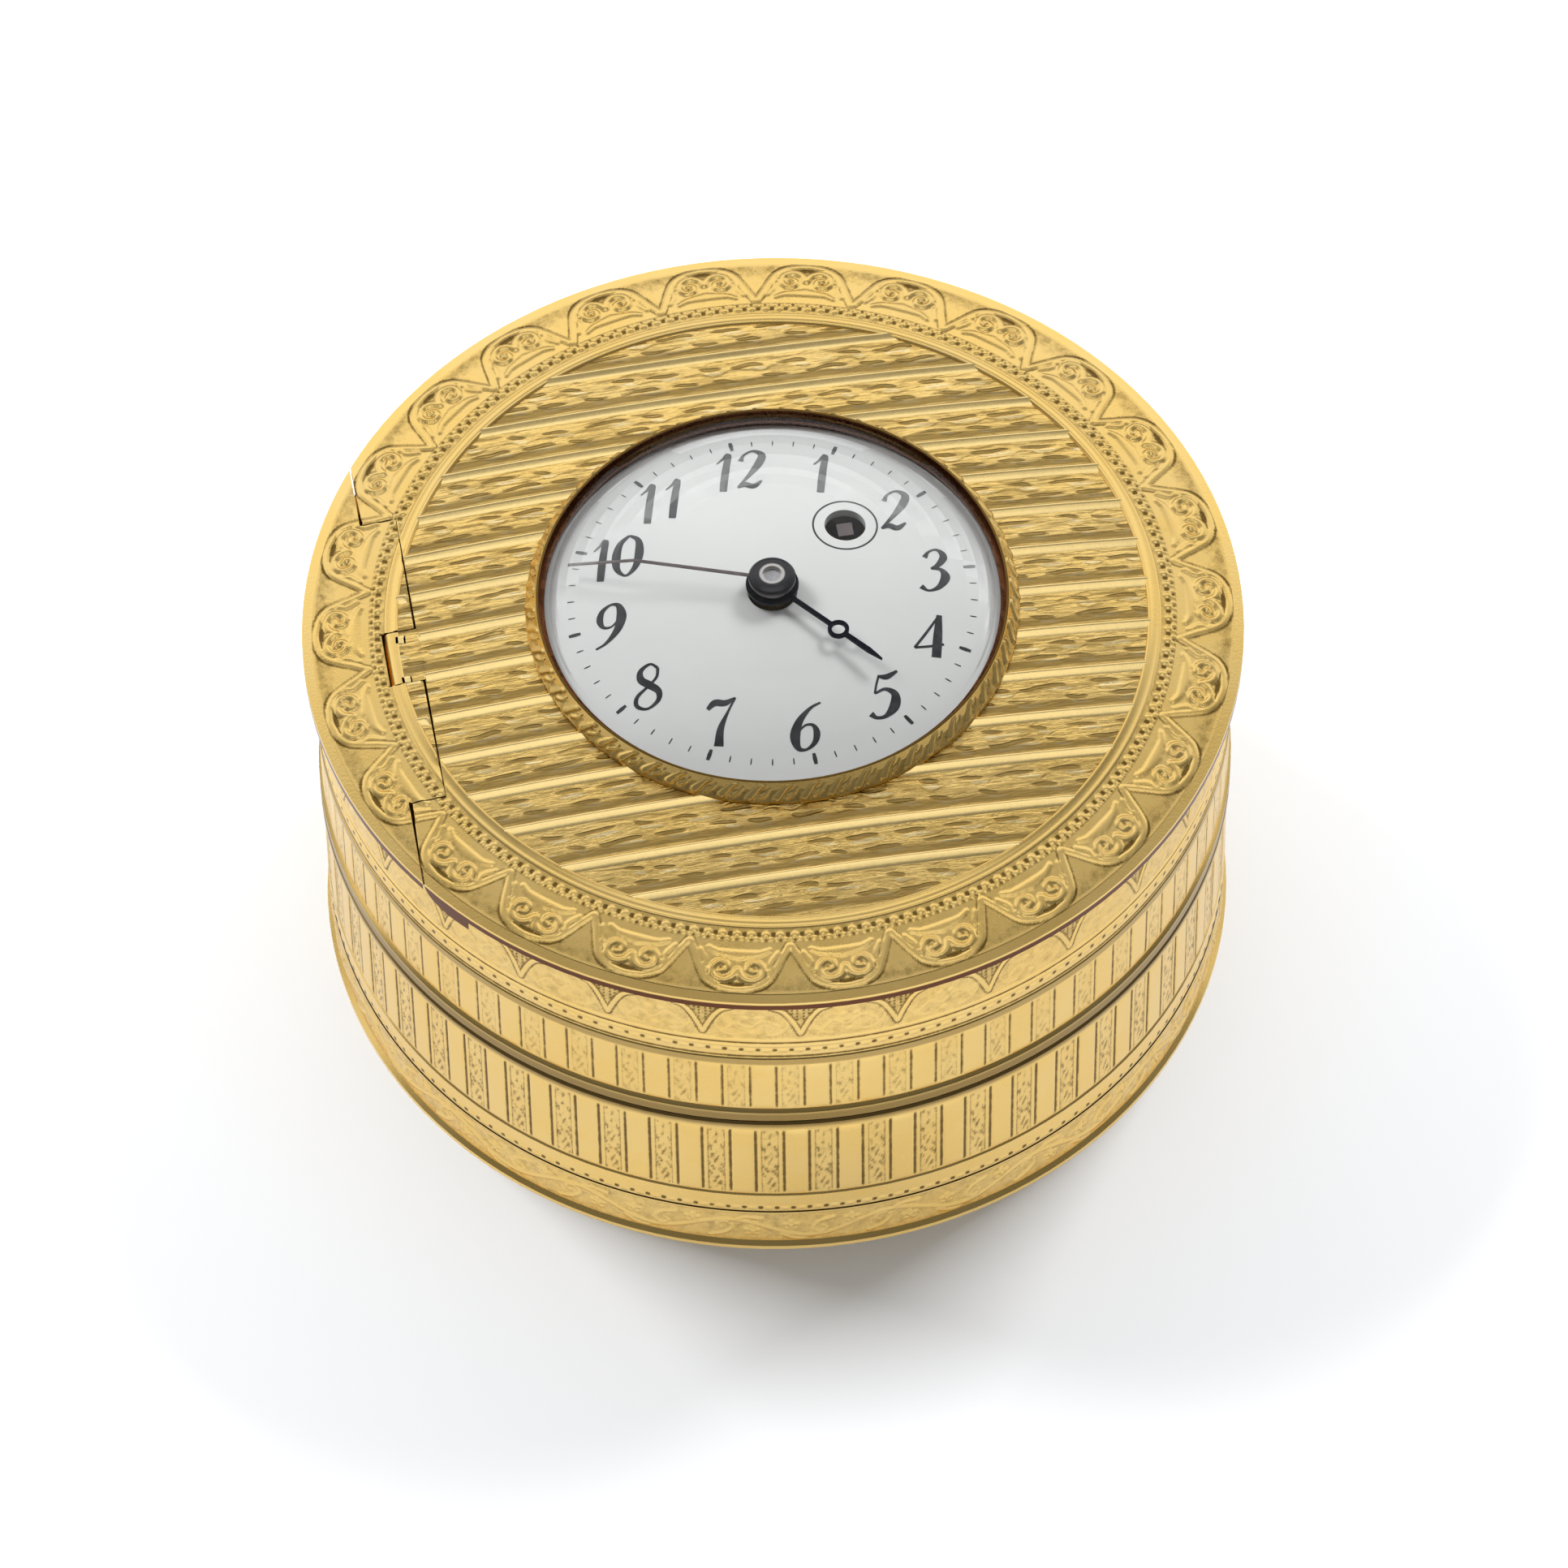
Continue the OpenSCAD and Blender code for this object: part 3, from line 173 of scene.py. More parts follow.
class Finish:
    """A material that is built up node by node."""

    def __init__(self, name):
        self.material = bpy.data.materials.new(name)
        self.material.use_nodes = True
        self.tree = self.material.node_tree
        self.nodes = self.tree.nodes
        self.shader = self.nodes["Principled BSDF"]
        self.output = self.nodes["Material Output"]

    def put(self, socket, value):
        if isinstance(value, Socket):
            self.tree.links.new(value.out, socket)
        elif isinstance(value, (tuple, list)) and len(value) == 3 and socket.type == "RGBA":
            socket.default_value = (*value, 1.0)
        else:
            socket.default_value = value

    def node(self, kind, settings=None, output=0, **inputs):
        node = self.nodes.new(kind)
        for key, value in (settings or {}).items():
            if key == "stops":
                ramp = node.color_ramp
                while len(ramp.elements) < len(value):
                    ramp.elements.new(0.5)
                for element, (place, colour) in zip(ramp.elements, value):
                    element.position = place
                    element.color = (*colour, 1.0)
            else:
                setattr(node, key, value)
        for key, value in inputs.items():
            self.put(self.input_of(node, key), value)
        return Socket(self, node.outputs[output])

    @staticmethod
    def input_of(node, key):
        if key.startswith("in"):
            return node.inputs[int(key[2:])]
        return node.inputs[key.replace("_", " ")]

    def place(self):
        """The point on the object, in millimetres."""
        raw = self.node("ShaderNodeTexCoord", output=3)
        return self.node("ShaderNodeVectorMath", {"operation": "SCALE"}, in0=raw, in3=1 / MM)

    def split(self, vector):
        parts = self.node("ShaderNodeSeparateXYZ", in0=vector)
        node = parts.out.node
        return [Socket(self, node.outputs[i]) for i in range(3)]

    def mix(self, factor, low, high):
        return self.node("ShaderNodeMix", {"data_type": "RGBA"}, 2, in0=factor, in6=low, in7=high)

    def ramp(self, value, low, high):
        """0 below low, 1 above high, smooth between."""
        return self.node("ShaderNodeMapRange", {"interpolation_type": "SMOOTHSTEP"},
                         in0=value, in1=low, in2=high, in3=0.0, in4=1.0)

    def noise(self, vector, scale, detail=2.0, rough=0.5):
        return self.node("ShaderNodeTexNoise", None, 0, Vector=vector, Scale=scale,
                         Detail=detail, Roughness=rough)

    def set(self, **inputs):
        for key, value in inputs.items():
            self.put(self.input_of(self.shader, key), value)

    def link(self, *pairs):
        """Feed whole shaders on: each pair is a node and the input that it goes into."""
        for node, socket in pairs:
            self.tree.links.new(node.outputs[0], socket)

    def bump(self, height, depth_mm, strength=1.0):
        normal = self.node("ShaderNodeBump", {}, 0, Strength=strength, Distance=depth_mm * MM,
                           Height=height)
        self.put(self.shader.inputs["Normal"], normal)


print("shader helpers ready")

# %% [markdown]
# The box was photographed on white paper under large soft lamps. The paper is a plain white
# plane that keeps the soft shadow. A glow so faint that it only lifts the shadow's darkest part
# is added for the camera. For glossy rays the paper is mixed with an even white, so that the
# gold of the wall reflects it evenly.

# %% Floor
PAPER_GLOW = 0.02
GLOSS_LEVEL = 0.92
GLOSS_SHARE = 0.6
FLOOR_SIDE = 3.0

paper = Finish("white_paper")
paper.set(Base_Color=(0.95, 0.97, 1.0), Roughness=0.6, Specular_IOR_Level=0.1)
seen = paper.nodes.new("ShaderNodeLightPath")
glow, even_white = [paper.nodes.new("ShaderNodeEmission") for _ in range(2)]
glow.inputs["Strength"].default_value = PAPER_GLOW
even_white.inputs["Strength"].default_value = GLOSS_LEVEL
brighter = paper.nodes.new("ShaderNodeAddShader")
flatter, view_mix, paper_mix = [paper.nodes.new("ShaderNodeMixShader") for _ in range(3)]
flatter.inputs[0].default_value = GLOSS_SHARE
glossy, passing, direct = [Socket(paper, seen.outputs["Is " + kind + " Ray"])
                           for kind in ("Glossy", "Transmission", "Camera")]
paper.put(view_mix.inputs[0], direct)
paper.put(paper_mix.inputs[0], highest([glossy, passing]))
paper.link((paper.shader, brighter.inputs[0]), (glow, brighter.inputs[1]),
           (paper.shader, flatter.inputs[1]), (even_white, flatter.inputs[2]),
           (paper.shader, view_mix.inputs[1]), (brighter, view_mix.inputs[2]),
           (view_mix, paper_mix.inputs[1]), (flatter, paper_mix.inputs[2]),
           (paper_mix, paper.output.inputs[0]))

bpy.ops.mesh.primitive_plane_add(size=FLOOR_SIDE, location=(0, 0, 0))
floor = bpy.context.object
floor.name = "floor"
floor.data.materials.append(paper.material)
print("floor side:", FLOOR_SIDE, "m")

# %% [markdown]
# Gold shows its relief only where it has something darker to reflect. So the room is pale behind
# the box and dim overhead and in front. Its brightness is a ramp over the angle round the
# left-right axis: 0 is the horizon behind the box, 0.5 is straight up, and 1 is the front horizon.

# %% Room
SKY_STRENGTH = 1.2
SKY_STOPS = ((0.0, 0.15), (0.06, 0.25), (0.12, 0.75), (0.19, 1.0), (0.27, 1.0), (0.31, 0.60),
             (0.35, 0.30), (0.42, 0.20), (0.55, 0.18), (0.68, 0.16), (1.0, 0.10))


class Room(Finish):
    """The world's node tree, with the same helpers as a material's."""

    def __init__(self, name):
        self.world = bpy.data.worlds.new(name)
        self.world.use_nodes = True
        self.tree = self.world.node_tree
        self.nodes = self.tree.nodes
        self.shader = self.nodes["Background"]
        self.output = self.nodes["World Output"]


room = Room("pale_room")
bpy.context.scene.world = room.world
_, towards_back, upwards = room.split(room.node("ShaderNodeTexCoord", output=0))
half_turn = upwards.math("ARCTAN2", upwards, towards_back) * (1 / math.pi)
sky_levels = [(place, (level, level, level)) for place, level in SKY_STOPS]
room.set(Color=room.node("ShaderNodeValToRGB", {"stops": sky_levels}, 0, Fac=half_turn))
room.shader.inputs["Strength"].default_value = SKY_STRENGTH
white_wall = room.nodes.new("ShaderNodeBackground")
white_wall.inputs["Color"].default_value = (1, 1, 1, 1)
sky_seen = room.nodes.new("ShaderNodeLightPath")
sky_mix = room.nodes.new("ShaderNodeMixShader")
room.put(sky_mix.inputs[0], Socket(room, sky_seen.outputs["Is Camera Ray"]))
room.link((room.shader, sky_mix.inputs[1]), (white_wall, sky_mix.inputs[2]),
          (sky_mix, room.output.inputs[0]))
bpy.context.scene.view_settings.view_transform = "Standard"
print("sky stops:", len(SKY_STOPS))

# %% [markdown]
# Two lamps behind the box throw the shadow forwards and light the paper and the enamel. They are
# kept out of reflections, where they would burn white patches into the gold. A third lamp hangs
# overhead, where the long slopes of the ribs reflect it, and gives each rib its bright line.

# %% Lamps
BACK_LAMP_SIZE = (280, 200)
BACK_LAMP_WATTS = 4.25
OVER_LAMP_SIZE = (560, 240)
OVER_LAMP_WATTS = 0.42
LAMP_AIM = (0, 0, 15)


def soft_lamp(name, place_mm, size_mm, watts):
    """An area lamp that looks at the box."""
    lamp = bpy.data.lights.new(name, "AREA")
    lamp.shape = "RECTANGLE"
    lamp.size = size_mm[0] * MM
    lamp.size_y = size_mm[1] * MM
    lamp.energy = watts
    holder = add_object(name, lamp)
    place = Vector(place_mm) * MM
    aim = Vector(LAMP_AIM) * MM - place
    holder.matrix_world = Matrix.Translation(place) @ aim.to_track_quat("-Z", "Y").to_matrix().to_4x4()
    return holder


for lamp_name, lamp_x in (("lamp_back_left", -400), ("lamp_back_right", 420)):
    back_lamp = soft_lamp(lamp_name, (lamp_x, 330, 540), BACK_LAMP_SIZE, BACK_LAMP_WATTS)
    back_lamp.visible_glossy = False
soft_lamp("lamp_over", (0, -40, 640), OVER_LAMP_SIZE, OVER_LAMP_WATTS)

# %% [markdown]
# The gold is one alloy in several finishes. Plain parts are polished and a little hazy from
# wear, chased grounds are duller with the warm brown of old polish and painted shade in the
# cuts, and the engine turning has its fine cuts in the material, where they cost no faces. Gold
# is a metal, so its colour sits in the base colour, and its shine comes from roughness, apart
# from the highlights and shade that are painted into its colour below.

# %% Plain gold
GOLD = (0.92, 0.63, 0.20)
GOLD_HOLLOWS_AND_SHADE = (0.20, 0.12, 0.028)
GOLD_PALE = (0.95, 0.73, 0.33)
RIB_GOLD_HIGHLIGHT = (0.96, 0.72, 0.30)
SEAM_AND_SHADE_DARK = (0.10, 0.05, 0.012)


def clouded_gold(finish, place, scale=0.16, haze=0.3, colour=GOLD):
    """Faint clouds of wear, and gold that pales in them."""
    clouds = finish.noise(place, scale, 3.0, 0.6)
    return clouds, finish.mix(finish.ramp(clouds, 0.35, 0.7) * haze, colour, GOLD_PALE)


def gold_finish(name, rough=0.2, haze=0.3, grain=0.008, colour=GOLD):
    """Polished gold with faint clouds of wear. It keeps its place and colour for further paint."""
    gold = Finish(name)
    gold.at = gold.place()
    clouds, gold.tint = clouded_gold(gold, gold.at, haze=haze, colour=colour)
    fine = gold.noise(gold.at, 3.2, 2.0, 0.6)
    gold.set(Metallic=1.0, Base_Color=gold.tint, Roughness=rough + 0.10 * clouds + 0.06 * fine)
    gold.bump(fine, grain, 0.5)
    return gold


gold_plain = gold_finish("polished_gold")
gold_inside = gold_finish("gold_inside", 0.3, 0.2, 0.02)
# The ribs get a paler gold than the field, a painted highlight; their lower roughness is their real
# polish.
gold_rib_highlight = gold_finish("rib_gold", 0.16, 0.4, 0.006, RIB_GOLD_HIGHLIGHT)
print("plain gold made")

# %% [markdown]
# The seam is a dark joint. Above and below it, and in the fillet under the lid's bead row,
# shade is painted into the gold as dark bands. The wall's material finds those places by
# their height, so the dark line runs right round the box.

# %% Gold of the wall
gold_wall = gold_finish("wall_gold")
wall_z = gold_wall.split(gold_wall.at)[2]
# The seam line is the dark joint itself. The band over the seam and the band in the fillet are painted
# shade.
seam_line = 1.0 - gold_wall.ramp(abs(wall_z - SEAM_Z), 0.05, 0.2)
painted_shade_over_seam = gold_wall.ramp(wall_z, 14.5, 15.1) * gold_wall.ramp(wall_z, 16.9, 16.2) * 0.72
painted_shade_in_fillet = gold_wall.ramp(wall_z, 22.05, 22.3) * gold_wall.ramp(wall_z, 22.95, 22.7) * 0.5
seam_and_painted_shade = highest([seam_line, painted_shade_over_seam + painted_shade_in_fillet])
gold_wall.set(Base_Color=gold_wall.mix(seam_and_painted_shade, gold_wall.tint, SEAM_AND_SHADE_DARK))
print("wall gold made")

# %% [markdown]
# Every chased ornament here is low relief, at most a quarter of a millimetre high. An engraver
# works one repeat and then goes round the box, and so does this script: one repeat is a grid
# whose points are lifted by a height rule, wrapped on the wall or the dome, and copied round the
# axis with an Array modifier that turns each copy by one step. The rules are drawn with
# strokes: a rounded band that follows a curve, as one pass of a chasing tool leaves it.

# %% Strokes of the chasing tool
def curve_through(points, steps=8):
    """A smooth curve through a few points."""
    points = np.array(points, dtype=float)
    ends = np.vstack([2 * points[0] - points[1], points, 2 * points[-1] - points[-2]])
    out = []
    for i in range(1, len(ends) - 2):
        a, b, c, d = ends[i - 1:i + 3]
        for k in range(steps):
            t = k / steps
            out.append(0.5 * (2 * b + (c - a) * t + (2 * a - 5 * b + 4 * c - d) * t ** 2
                              + (3 * b - a - 3 * c + d) * t ** 3))
    out.append(ends[-2])
    return np.array(out)


def curve_distance(s, t, curve):
    """Distance of each point (s, t) from a curve, and its share of the curve's length."""
    best = np.full(s.shape, 1e9)
    share = np.zeros(s.shape)
    last = len(curve) - 1
    for i in range(last):
        ax, ay = curve[i]
        dx, dy = curve[i + 1] - curve[i]
        size = max(dx * dx + dy * dy, 1e-12)
        k = np.clip(((s - ax) * dx + (t - ay) * dy) / size, 0, 1)
        gap = np.hypot(s - ax - k * dx, t - ay - k * dy)
        nearer = gap < best
        best = np.where(nearer, gap, best)
        share = np.where(nearer, (i + k) / last, share)
    return best, share


def soft_line(place, middle, half):
    """1 in the middle of a line and 0 from its edges on."""
    return np.clip(1 - ((place - middle) / half) ** 2, 0, 1)


def stroke(s, t, points, width, tip=1.0, steps=8):
    """Height from 0 to 1 of a rounded band along a curve; tip is its end's share of width."""
    gap, share = curve_distance(s, t, curve_through(points, steps))
    half = width / 2 * (1 + (tip - 1) * share)
    return np.sqrt(soft_line(gap, 0, half))


def knob(s, t, centre, radius):
    return np.sqrt(np.clip(1 - ((s - centre[0]) ** 2 + (t - centre[1]) ** 2) / radius ** 2, 0, 1))


def ledge(t, low, high, soft=0.12):
    """1 between two heights, with soft shoulders."""
    return np.clip((t - low) / soft, 0, 1) * np.clip((high - t) / soft, 0, 1)


print("strokes ready")

# %% [markdown]
# A repeat is laid flat first: s runs along the ring and t across it. A wrap then bends it on the
# wall or the dome, a hair proud of the surface, and the Array modifier carries it round. The
# grid that a repeat starts from also serves for the ribs and for the skin over the hinge.

# %% Relief rings
PROUD = 0.04


def on_wall(s, t, lift):
    angle = s / WALL_R
    r = WALL_R + lift
    return r * np.sin(angle), -r * np.cos(angle), t


def on_dome(mean_radius):
    def wrap(s, t, lift):
        angle = s / mean_radius
        return -t * np.sin(angle), -t * np.cos(angle), dome_z(t) + lift
    return wrap


def grid(name, columns, rows):
    """A flat grid, and where its points lie along and across it, each from -0.5 to 0.5."""
    bpy.ops.mesh.primitive_grid_add(x_subdivisions=columns, y_subdivisions=rows, size=1)
    piece = bpy.context.object
    piece.name = name
    flat = np.empty(len(piece.data.vertices) * 3)
    piece.data.vertices.foreach_get("co", flat)
    along, across, _ = flat.reshape(-1, 3).T
    return piece, along, across


def move_points(mesh, x, y, z):
    mesh.vertices.foreach_set("co", (np.stack([x, y, z], axis=1) * MM).ravel())
    mesh.update()


def smooth(mesh):
    mesh.polygons.foreach_set("use_smooth", [True] * len(mesh.polygons))


def relief_ring(name, count, radius, low, high, columns, rows, rule, wrap):
    """A ring of repeats. The rule gives the height in mm and how bright a point is, from wear and painted
    light.
    """
    piece, along, across = grid(name, columns, rows)
    s = along * (2 * math.pi * radius / count)
    t = low + (across + 0.5) * (high - low)
    # The second number mixes real wear with painted highlights on high relief and painted shade in the
    # cuts.
    lift, worn = rule(s, t)
    piece.data.attributes.new("worn", "FLOAT", "POINT").data.foreach_set("value", worn)
    smooth(piece.data)
    move_points(piece.data, *wrap(s, t, lift + PROUD))
    return go_round(piece, count)


def go_round(piece, count):
    """Copy a repeat round the drum's axis and join the copies where they meet."""
    bpy.ops.object.empty_add(rotation=(0, 0, 2 * math.pi / count))
    step = bpy.context.object
    bpy.context.view_layer.objects.active = piece
    array = piece.modifiers.new("round", "ARRAY")
    array.count = count
    array.use_relative_offset = False
    array.use_object_offset = True
    array.offset_object = step
    array.use_merge_vertices = True
    array.use_merge_vertices_cap = True
    array.merge_threshold = 4e-6
    bpy.ops.object.modifier_apply(modifier="round")
    bpy.data.objects.remove(step)
    return piece


def finish_piece(piece, body, finish):
    piece.data.materials.clear()
    piece.data.materials.append(finish.material)
    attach(piece, body)
    return piece


print("relief helpers ready")

# %% [markdown]
# The chased gold keeps brown polish in its hollows and shines where hands have rubbed it. On
# top of that, shade is painted dark brown into the hollows and cuts, and highlights are painted
# on the high relief. The height rules store all this as a number on each point, and the
# material mixes its colour and roughness by it. A fine grain stands for the matting between
# the strokes.

# %% Chased gold
def chased_finish(name, matting=0.02, scale=9.0):
    chased = Finish(name)
    place = chased.place()
    worn = chased.node("ShaderNodeAttribute", {"attribute_name": "worn"}, 2)
    clouds, warm = clouded_gold(chased, place, 0.2)
    grain = chased.noise(place, scale, 2.0, 0.7)
    patchy = chased.noise(place, 1.5, 2.0, 0.6)
    # Painted light: a low number paints dark brown shade into the hollows and cuts, and a high one on
    # raised relief paints a pale highlight, together with real polish and wear.
    keep = chased.ramp(worn + 0.4 * (grain - 0.5) + 0.5 * (patchy - 0.5), 0.0, 0.6)
    tint = chased.mix(keep, GOLD_HOLLOWS_AND_SHADE, warm)
    chased.set(Metallic=1.0, Base_Color=tint, Roughness=0.40 - 0.16 * keep + 0.08 * clouds)
    chased.bump(grain, matting, 0.7)
    return chased


gold_chased = chased_finish("chased_gold")
gold_flutes = chased_finish("fluted_gold", 0.012, 7.0)
print("chased gold made")

# %% [markdown]
# The cover's border has 26 repeats. In each, an arch springs from two small knobs next to the
# bead row and swings out to the rim. Under it lie two scrolls that roll inwards to round eyes,
# and a low leaf fills the foot of the arch. Between two arches a plain hollow triangle opens
# towards the rim.

# %% Border of the cover
BORDER_R = 30.3
BORDER_COUNT = 26
ARCH_LINE = [(3.62, 28.55), (3.05, 29.5), (2.55, 30.5), (2.0, 31.35), (1.15, 31.85), (0, 32.0)]


def border_rule(s, t):
    a = np.abs(s)
    gap, _ = curve_distance(a, t, curve_through(ARCH_LINE))
    arch = np.sqrt(soft_line(gap, 0, 0.24))
    shade = soft_line(gap, 0.33, 0.12)
    scroll = stroke(a, t, [(0.0, 30.55), (0.35, 31.1), (1.0, 31.35), (1.65, 31.0), (1.75, 30.4),
                           (1.35, 29.95), (0.85, 30.05), (0.75, 30.5), (1.15, 30.68)], 0.58, 0.7)
    curl = stroke(a, t, [(2.75, 29.2), (2.3, 29.9), (2.35, 30.4), (2.1, 30.65)], 0.45, 0.6)
    leaf = stroke(a, t, [(0.0, 29.35), (0.7, 29.3), (1.5, 29.2), (2.2, 28.9)], 0.85, 0.4)
    root = knob(a, t, (3.55, 28.65), 0.28)
    across = np.hypot(a / 2.25, (t - 30.15) / 1.75)
    crescent = soft_line(across, 0.84, 0.16) * np.clip((t - 30.9) / 0.35, 0, 1)
    crescent *= np.clip(1 - 2.5 * scroll, 0, 1)
    eye = knob(a, t, (1.18, 30.34), 0.17) ** 2
    line_a = np.interp(t, [28.55, 29.5, 30.5, 31.35, 31.85, 32.0], [3.62, 3.05, 2.55, 2.0, 1.15, 0.2])
    triangle = np.clip((a - line_a - 0.25) / 0.4, 0, 1) * np.clip((t - 30.5) / 1.2, 0, 1)
    triangle *= np.clip((32.2 - t) / 0.15, 0, 1)
    tall = np.maximum.reduce([0.08 * arch, 0.17 * scroll, 0.08 * curl, 0.08 * leaf, 0.09 * root])
    worn = 0.62 + 3.2 * tall - 0.65 * crescent - 0.26 * triangle - 0.45 * shade - 0.5 * eye
    return tall - 0.025 * crescent - 0.015 * triangle, np.clip(worn, 0, 1)


border = relief_ring("cover_border", BORDER_COUNT, BORDER_R, 28.25, 32.3, 62, 36, border_rule,
                     on_dome(BORDER_R))
print("border faces:", len(border.data.polygons))

# %% [markdown]
# Inside the border runs a row of punched beads. The punch wandered on the real cover, so a repeat
# is a main bead with two smaller ones beside it, off the middle, and a dark hollow between.

# %% Bead row of the cover
BEAD_R = 27.85
BEAD_COUNT = 176
BEAD_STEP = 2 * math.pi * BEAD_R / BEAD_COUNT


def bead_rule(s, t):
    bead = knob(s, t, (0.05, 27.72), 0.27)
    small = np.maximum(knob(s, t, (-0.28, 28.06), 0.19), knob(s, t, (0.26, 28.08), 0.15))
    dot = knob(np.abs(s), t, (BEAD_STEP / 2, 27.7), 0.2)
    mark = knob(s, t, (0.0, 28.12), 0.13)
    worn = 0.42 + 0.4 * bead + 0.35 * small - 0.6 * dot - 0.4 * mark
    return 0.10 * bead + 0.07 * small, np.clip(worn, 0, 1)


beads = relief_ring("cover_beads", BEAD_COUNT, BEAD_R, 27.2, 28.3, 10, 12, bead_rule, on_dome(BEAD_R))
print("bead faces:", len(beads.data.polygons))

# %% [markdown]
# A turned moulding closes the engine-turned field. Its section is a row of points, each given by
# its radius and its height over the dome. It is drawn in edit mode and spun round the axis, as
# the lathe does it.

# %% Moulding of the field
MOULDING = ((26.2, -0.03), (26.27, 0.12), (26.37, 0.17), (26.5, 0.14), (26.62, 0.08), (26.95, 0.07),
            (27.08, 0.12), (27.2, 0.09), (27.28, -0.03))

bpy.ops.mesh.primitive_plane_add(size=1)
moulding = bpy.context.object
moulding.name = "field_moulding"
bpy.ops.object.mode_set(mode="EDIT")
bpy.ops.mesh.delete(type="VERT")
work = bmesh.from_edit_mesh(moulding.data)
points = [work.verts.new((r * MM, 0, (dome_z(r) + h) * MM)) for r, h in MOULDING]
for first, second in zip(points, points[1:]):
    work.edges.new((first, second))
bmesh.update_edit_mesh(moulding.data)
bpy.ops.mesh.select_all(action="SELECT")
bpy.ops.mesh.spin(steps=240, angle=2 * math.pi, center=(0, 0, 0), axis=(0, 0, 1))
bpy.ops.mesh.select_all(action="SELECT")
bpy.ops.mesh.normals_make_consistent(inside=False)
bpy.ops.object.mode_set(mode="OBJECT")
smooth(moulding.data)
if sum(f.normal.z * f.area for f in moulding.data.polygons) < 0:
    moulding.data.flip_normals()
print("moulding faces:", len(moulding.data.polygons))

# %% [markdown]
# Fourteen plain ribs cross the field. They stop at the moulding and at the bezel, so each is a
# narrow grid whose ends follow those two circles. A rib is higher on its far side: its long slope
# faces the front and shines, and its short slope drops to a dark line behind it, which is shade
# painted by the engine-turned gold.

# %% Ribs of the field
FIELD_R = 26.45
BEZEL_R = 17.2
RIB_WIDTH = 0.92
RIB_HIGH = 0.24
RIB_CREST = 0.72
RIB_YS = (23.3, 19.5, 15.8, 12.4, 9.0, 5.6, 2.0, -1.6, -5.3, -8.9, -12.4, -15.7, -19.5, -22.8)


def rib(y, side):
    """A rib at height y; side is 0 for a whole one, or -1 or 1 for the half beside the bezel."""
    piece, along, across = grid("rib", 40, 8)
    place_y = y + across * RIB_WIDTH
    outer = np.sqrt(FIELD_R ** 2 - place_y ** 2)
    inner = np.sqrt(np.maximum(BEZEL_R ** 2 - place_y ** 2, 0))
    low = inner if side > 0 else -outer
    high = -inner if side < 0 else outer
    slope = across + 0.5
    lift = RIB_HIGH * np.minimum(slope / RIB_CREST, (1 - slope) / (1 - RIB_CREST)) ** 0.8 - 0.01
    x = low + (high - low) * (along + 0.5)
    move_points(piece.data, x, place_y, dome_z(np.hypot(x, place_y)) + lift)
    smooth(piece.data)
    return piece


rib_pieces = []
for rib_y in RIB_YS:
    rib_pieces += [rib(rib_y, side) for side in ((-1, 1) if abs(rib_y) < BEZEL_R + 0.6 else (0,))]
ribs = rib_pieces[0]
for piece in rib_pieces:
    piece.select_set(True)
bpy.context.view_layer.objects.active = ribs
bpy.ops.object.join()
ribs.name = "field_ribs"
print("ribs:", len(rib_pieces))

# %% [markdown]
# The knuckles of the hinge are round, but the field above them is closed, because the real box
# was engine turned with its hinge in place. A thin sheet carries the field over them.

# %% Skin over the knuckles
FIELD_SKIN_X = (-26.35, -24.72)

skin, along, across = grid("hinge_skin", 9, 60)
x = FIELD_SKIN_X[0] + (along + 0.5) * (FIELD_SKIN_X[1] - FIELD_SKIN_X[0])
y = across * 2 * np.sqrt(FIELD_R ** 2 - x ** 2)
move_points(skin.data, x, y, dome_z(np.hypot(x, y)) + 0.015)
print("skin faces:", len(skin.data.polygons))

# %% [markdown]
# The border runs across the hinge. On the real box it was cut through along the knuckles after
# chasing, and the same is done here: the finished ornament is bisected along the seams, the
# hair-thin gaps are taken out, and what lies on the fixed side goes with the lid. Fixed knuckles
# reach towards the cover's middle and the others towards the rim, so the seam steps to and fro.
# When the cover turns up, its top stands upright just beside the lid's edge. What would meet the
# other side is pulled in to a radius round the hinge's axis, or down to a level over it.

# %% Seams of the hinge
HINGE_Z = 30.2
KNUCKLE_YS = (-11.9, -1.8, 2.8, 12.9)
SEAM_HALF = 0.05
FIXED_SEAM = HINGE_X + HINGE_EDGE
MIDDLE_SEAM = HINGE_X - 1.14
LOOSE_SEAM = HINGE_X - 1.28
REACH = {FIXED_SEAM: 1.57, MIDDLE_SEAM: 1.25, LOOSE_SEAM: 1.25}
LEVEL = 1.24
MIDDLE_LEVEL = 1.06


def seam_at(y):
    """The seam of the knuckle at this place: fixed ones end towards the cover's middle."""
    if KNUCKLE_YS[2] < y < KNUCKLE_YS[3] or KNUCKLE_YS[0] < y < KNUCKLE_YS[1]:
        return FIXED_SEAM
    return MIDDLE_SEAM if KNUCKLE_YS[1] <= y <= KNUCKLE_YS[2] else LOOSE_SEAM


def hinge_side(x, y):
    """Which side of the hinge a point of the cover's top belongs to: lid, cover or gap."""
    seam = seam_at(y)
    near_end = min(abs(y - k) for k in KNUCKLE_YS)
    if abs(x - seam) < SEAM_HALF or (LOOSE_SEAM < x < FIXED_SEAM and near_end < SEAM_HALF):
        return "gap"
    return "lid" if x < seam else "cover"


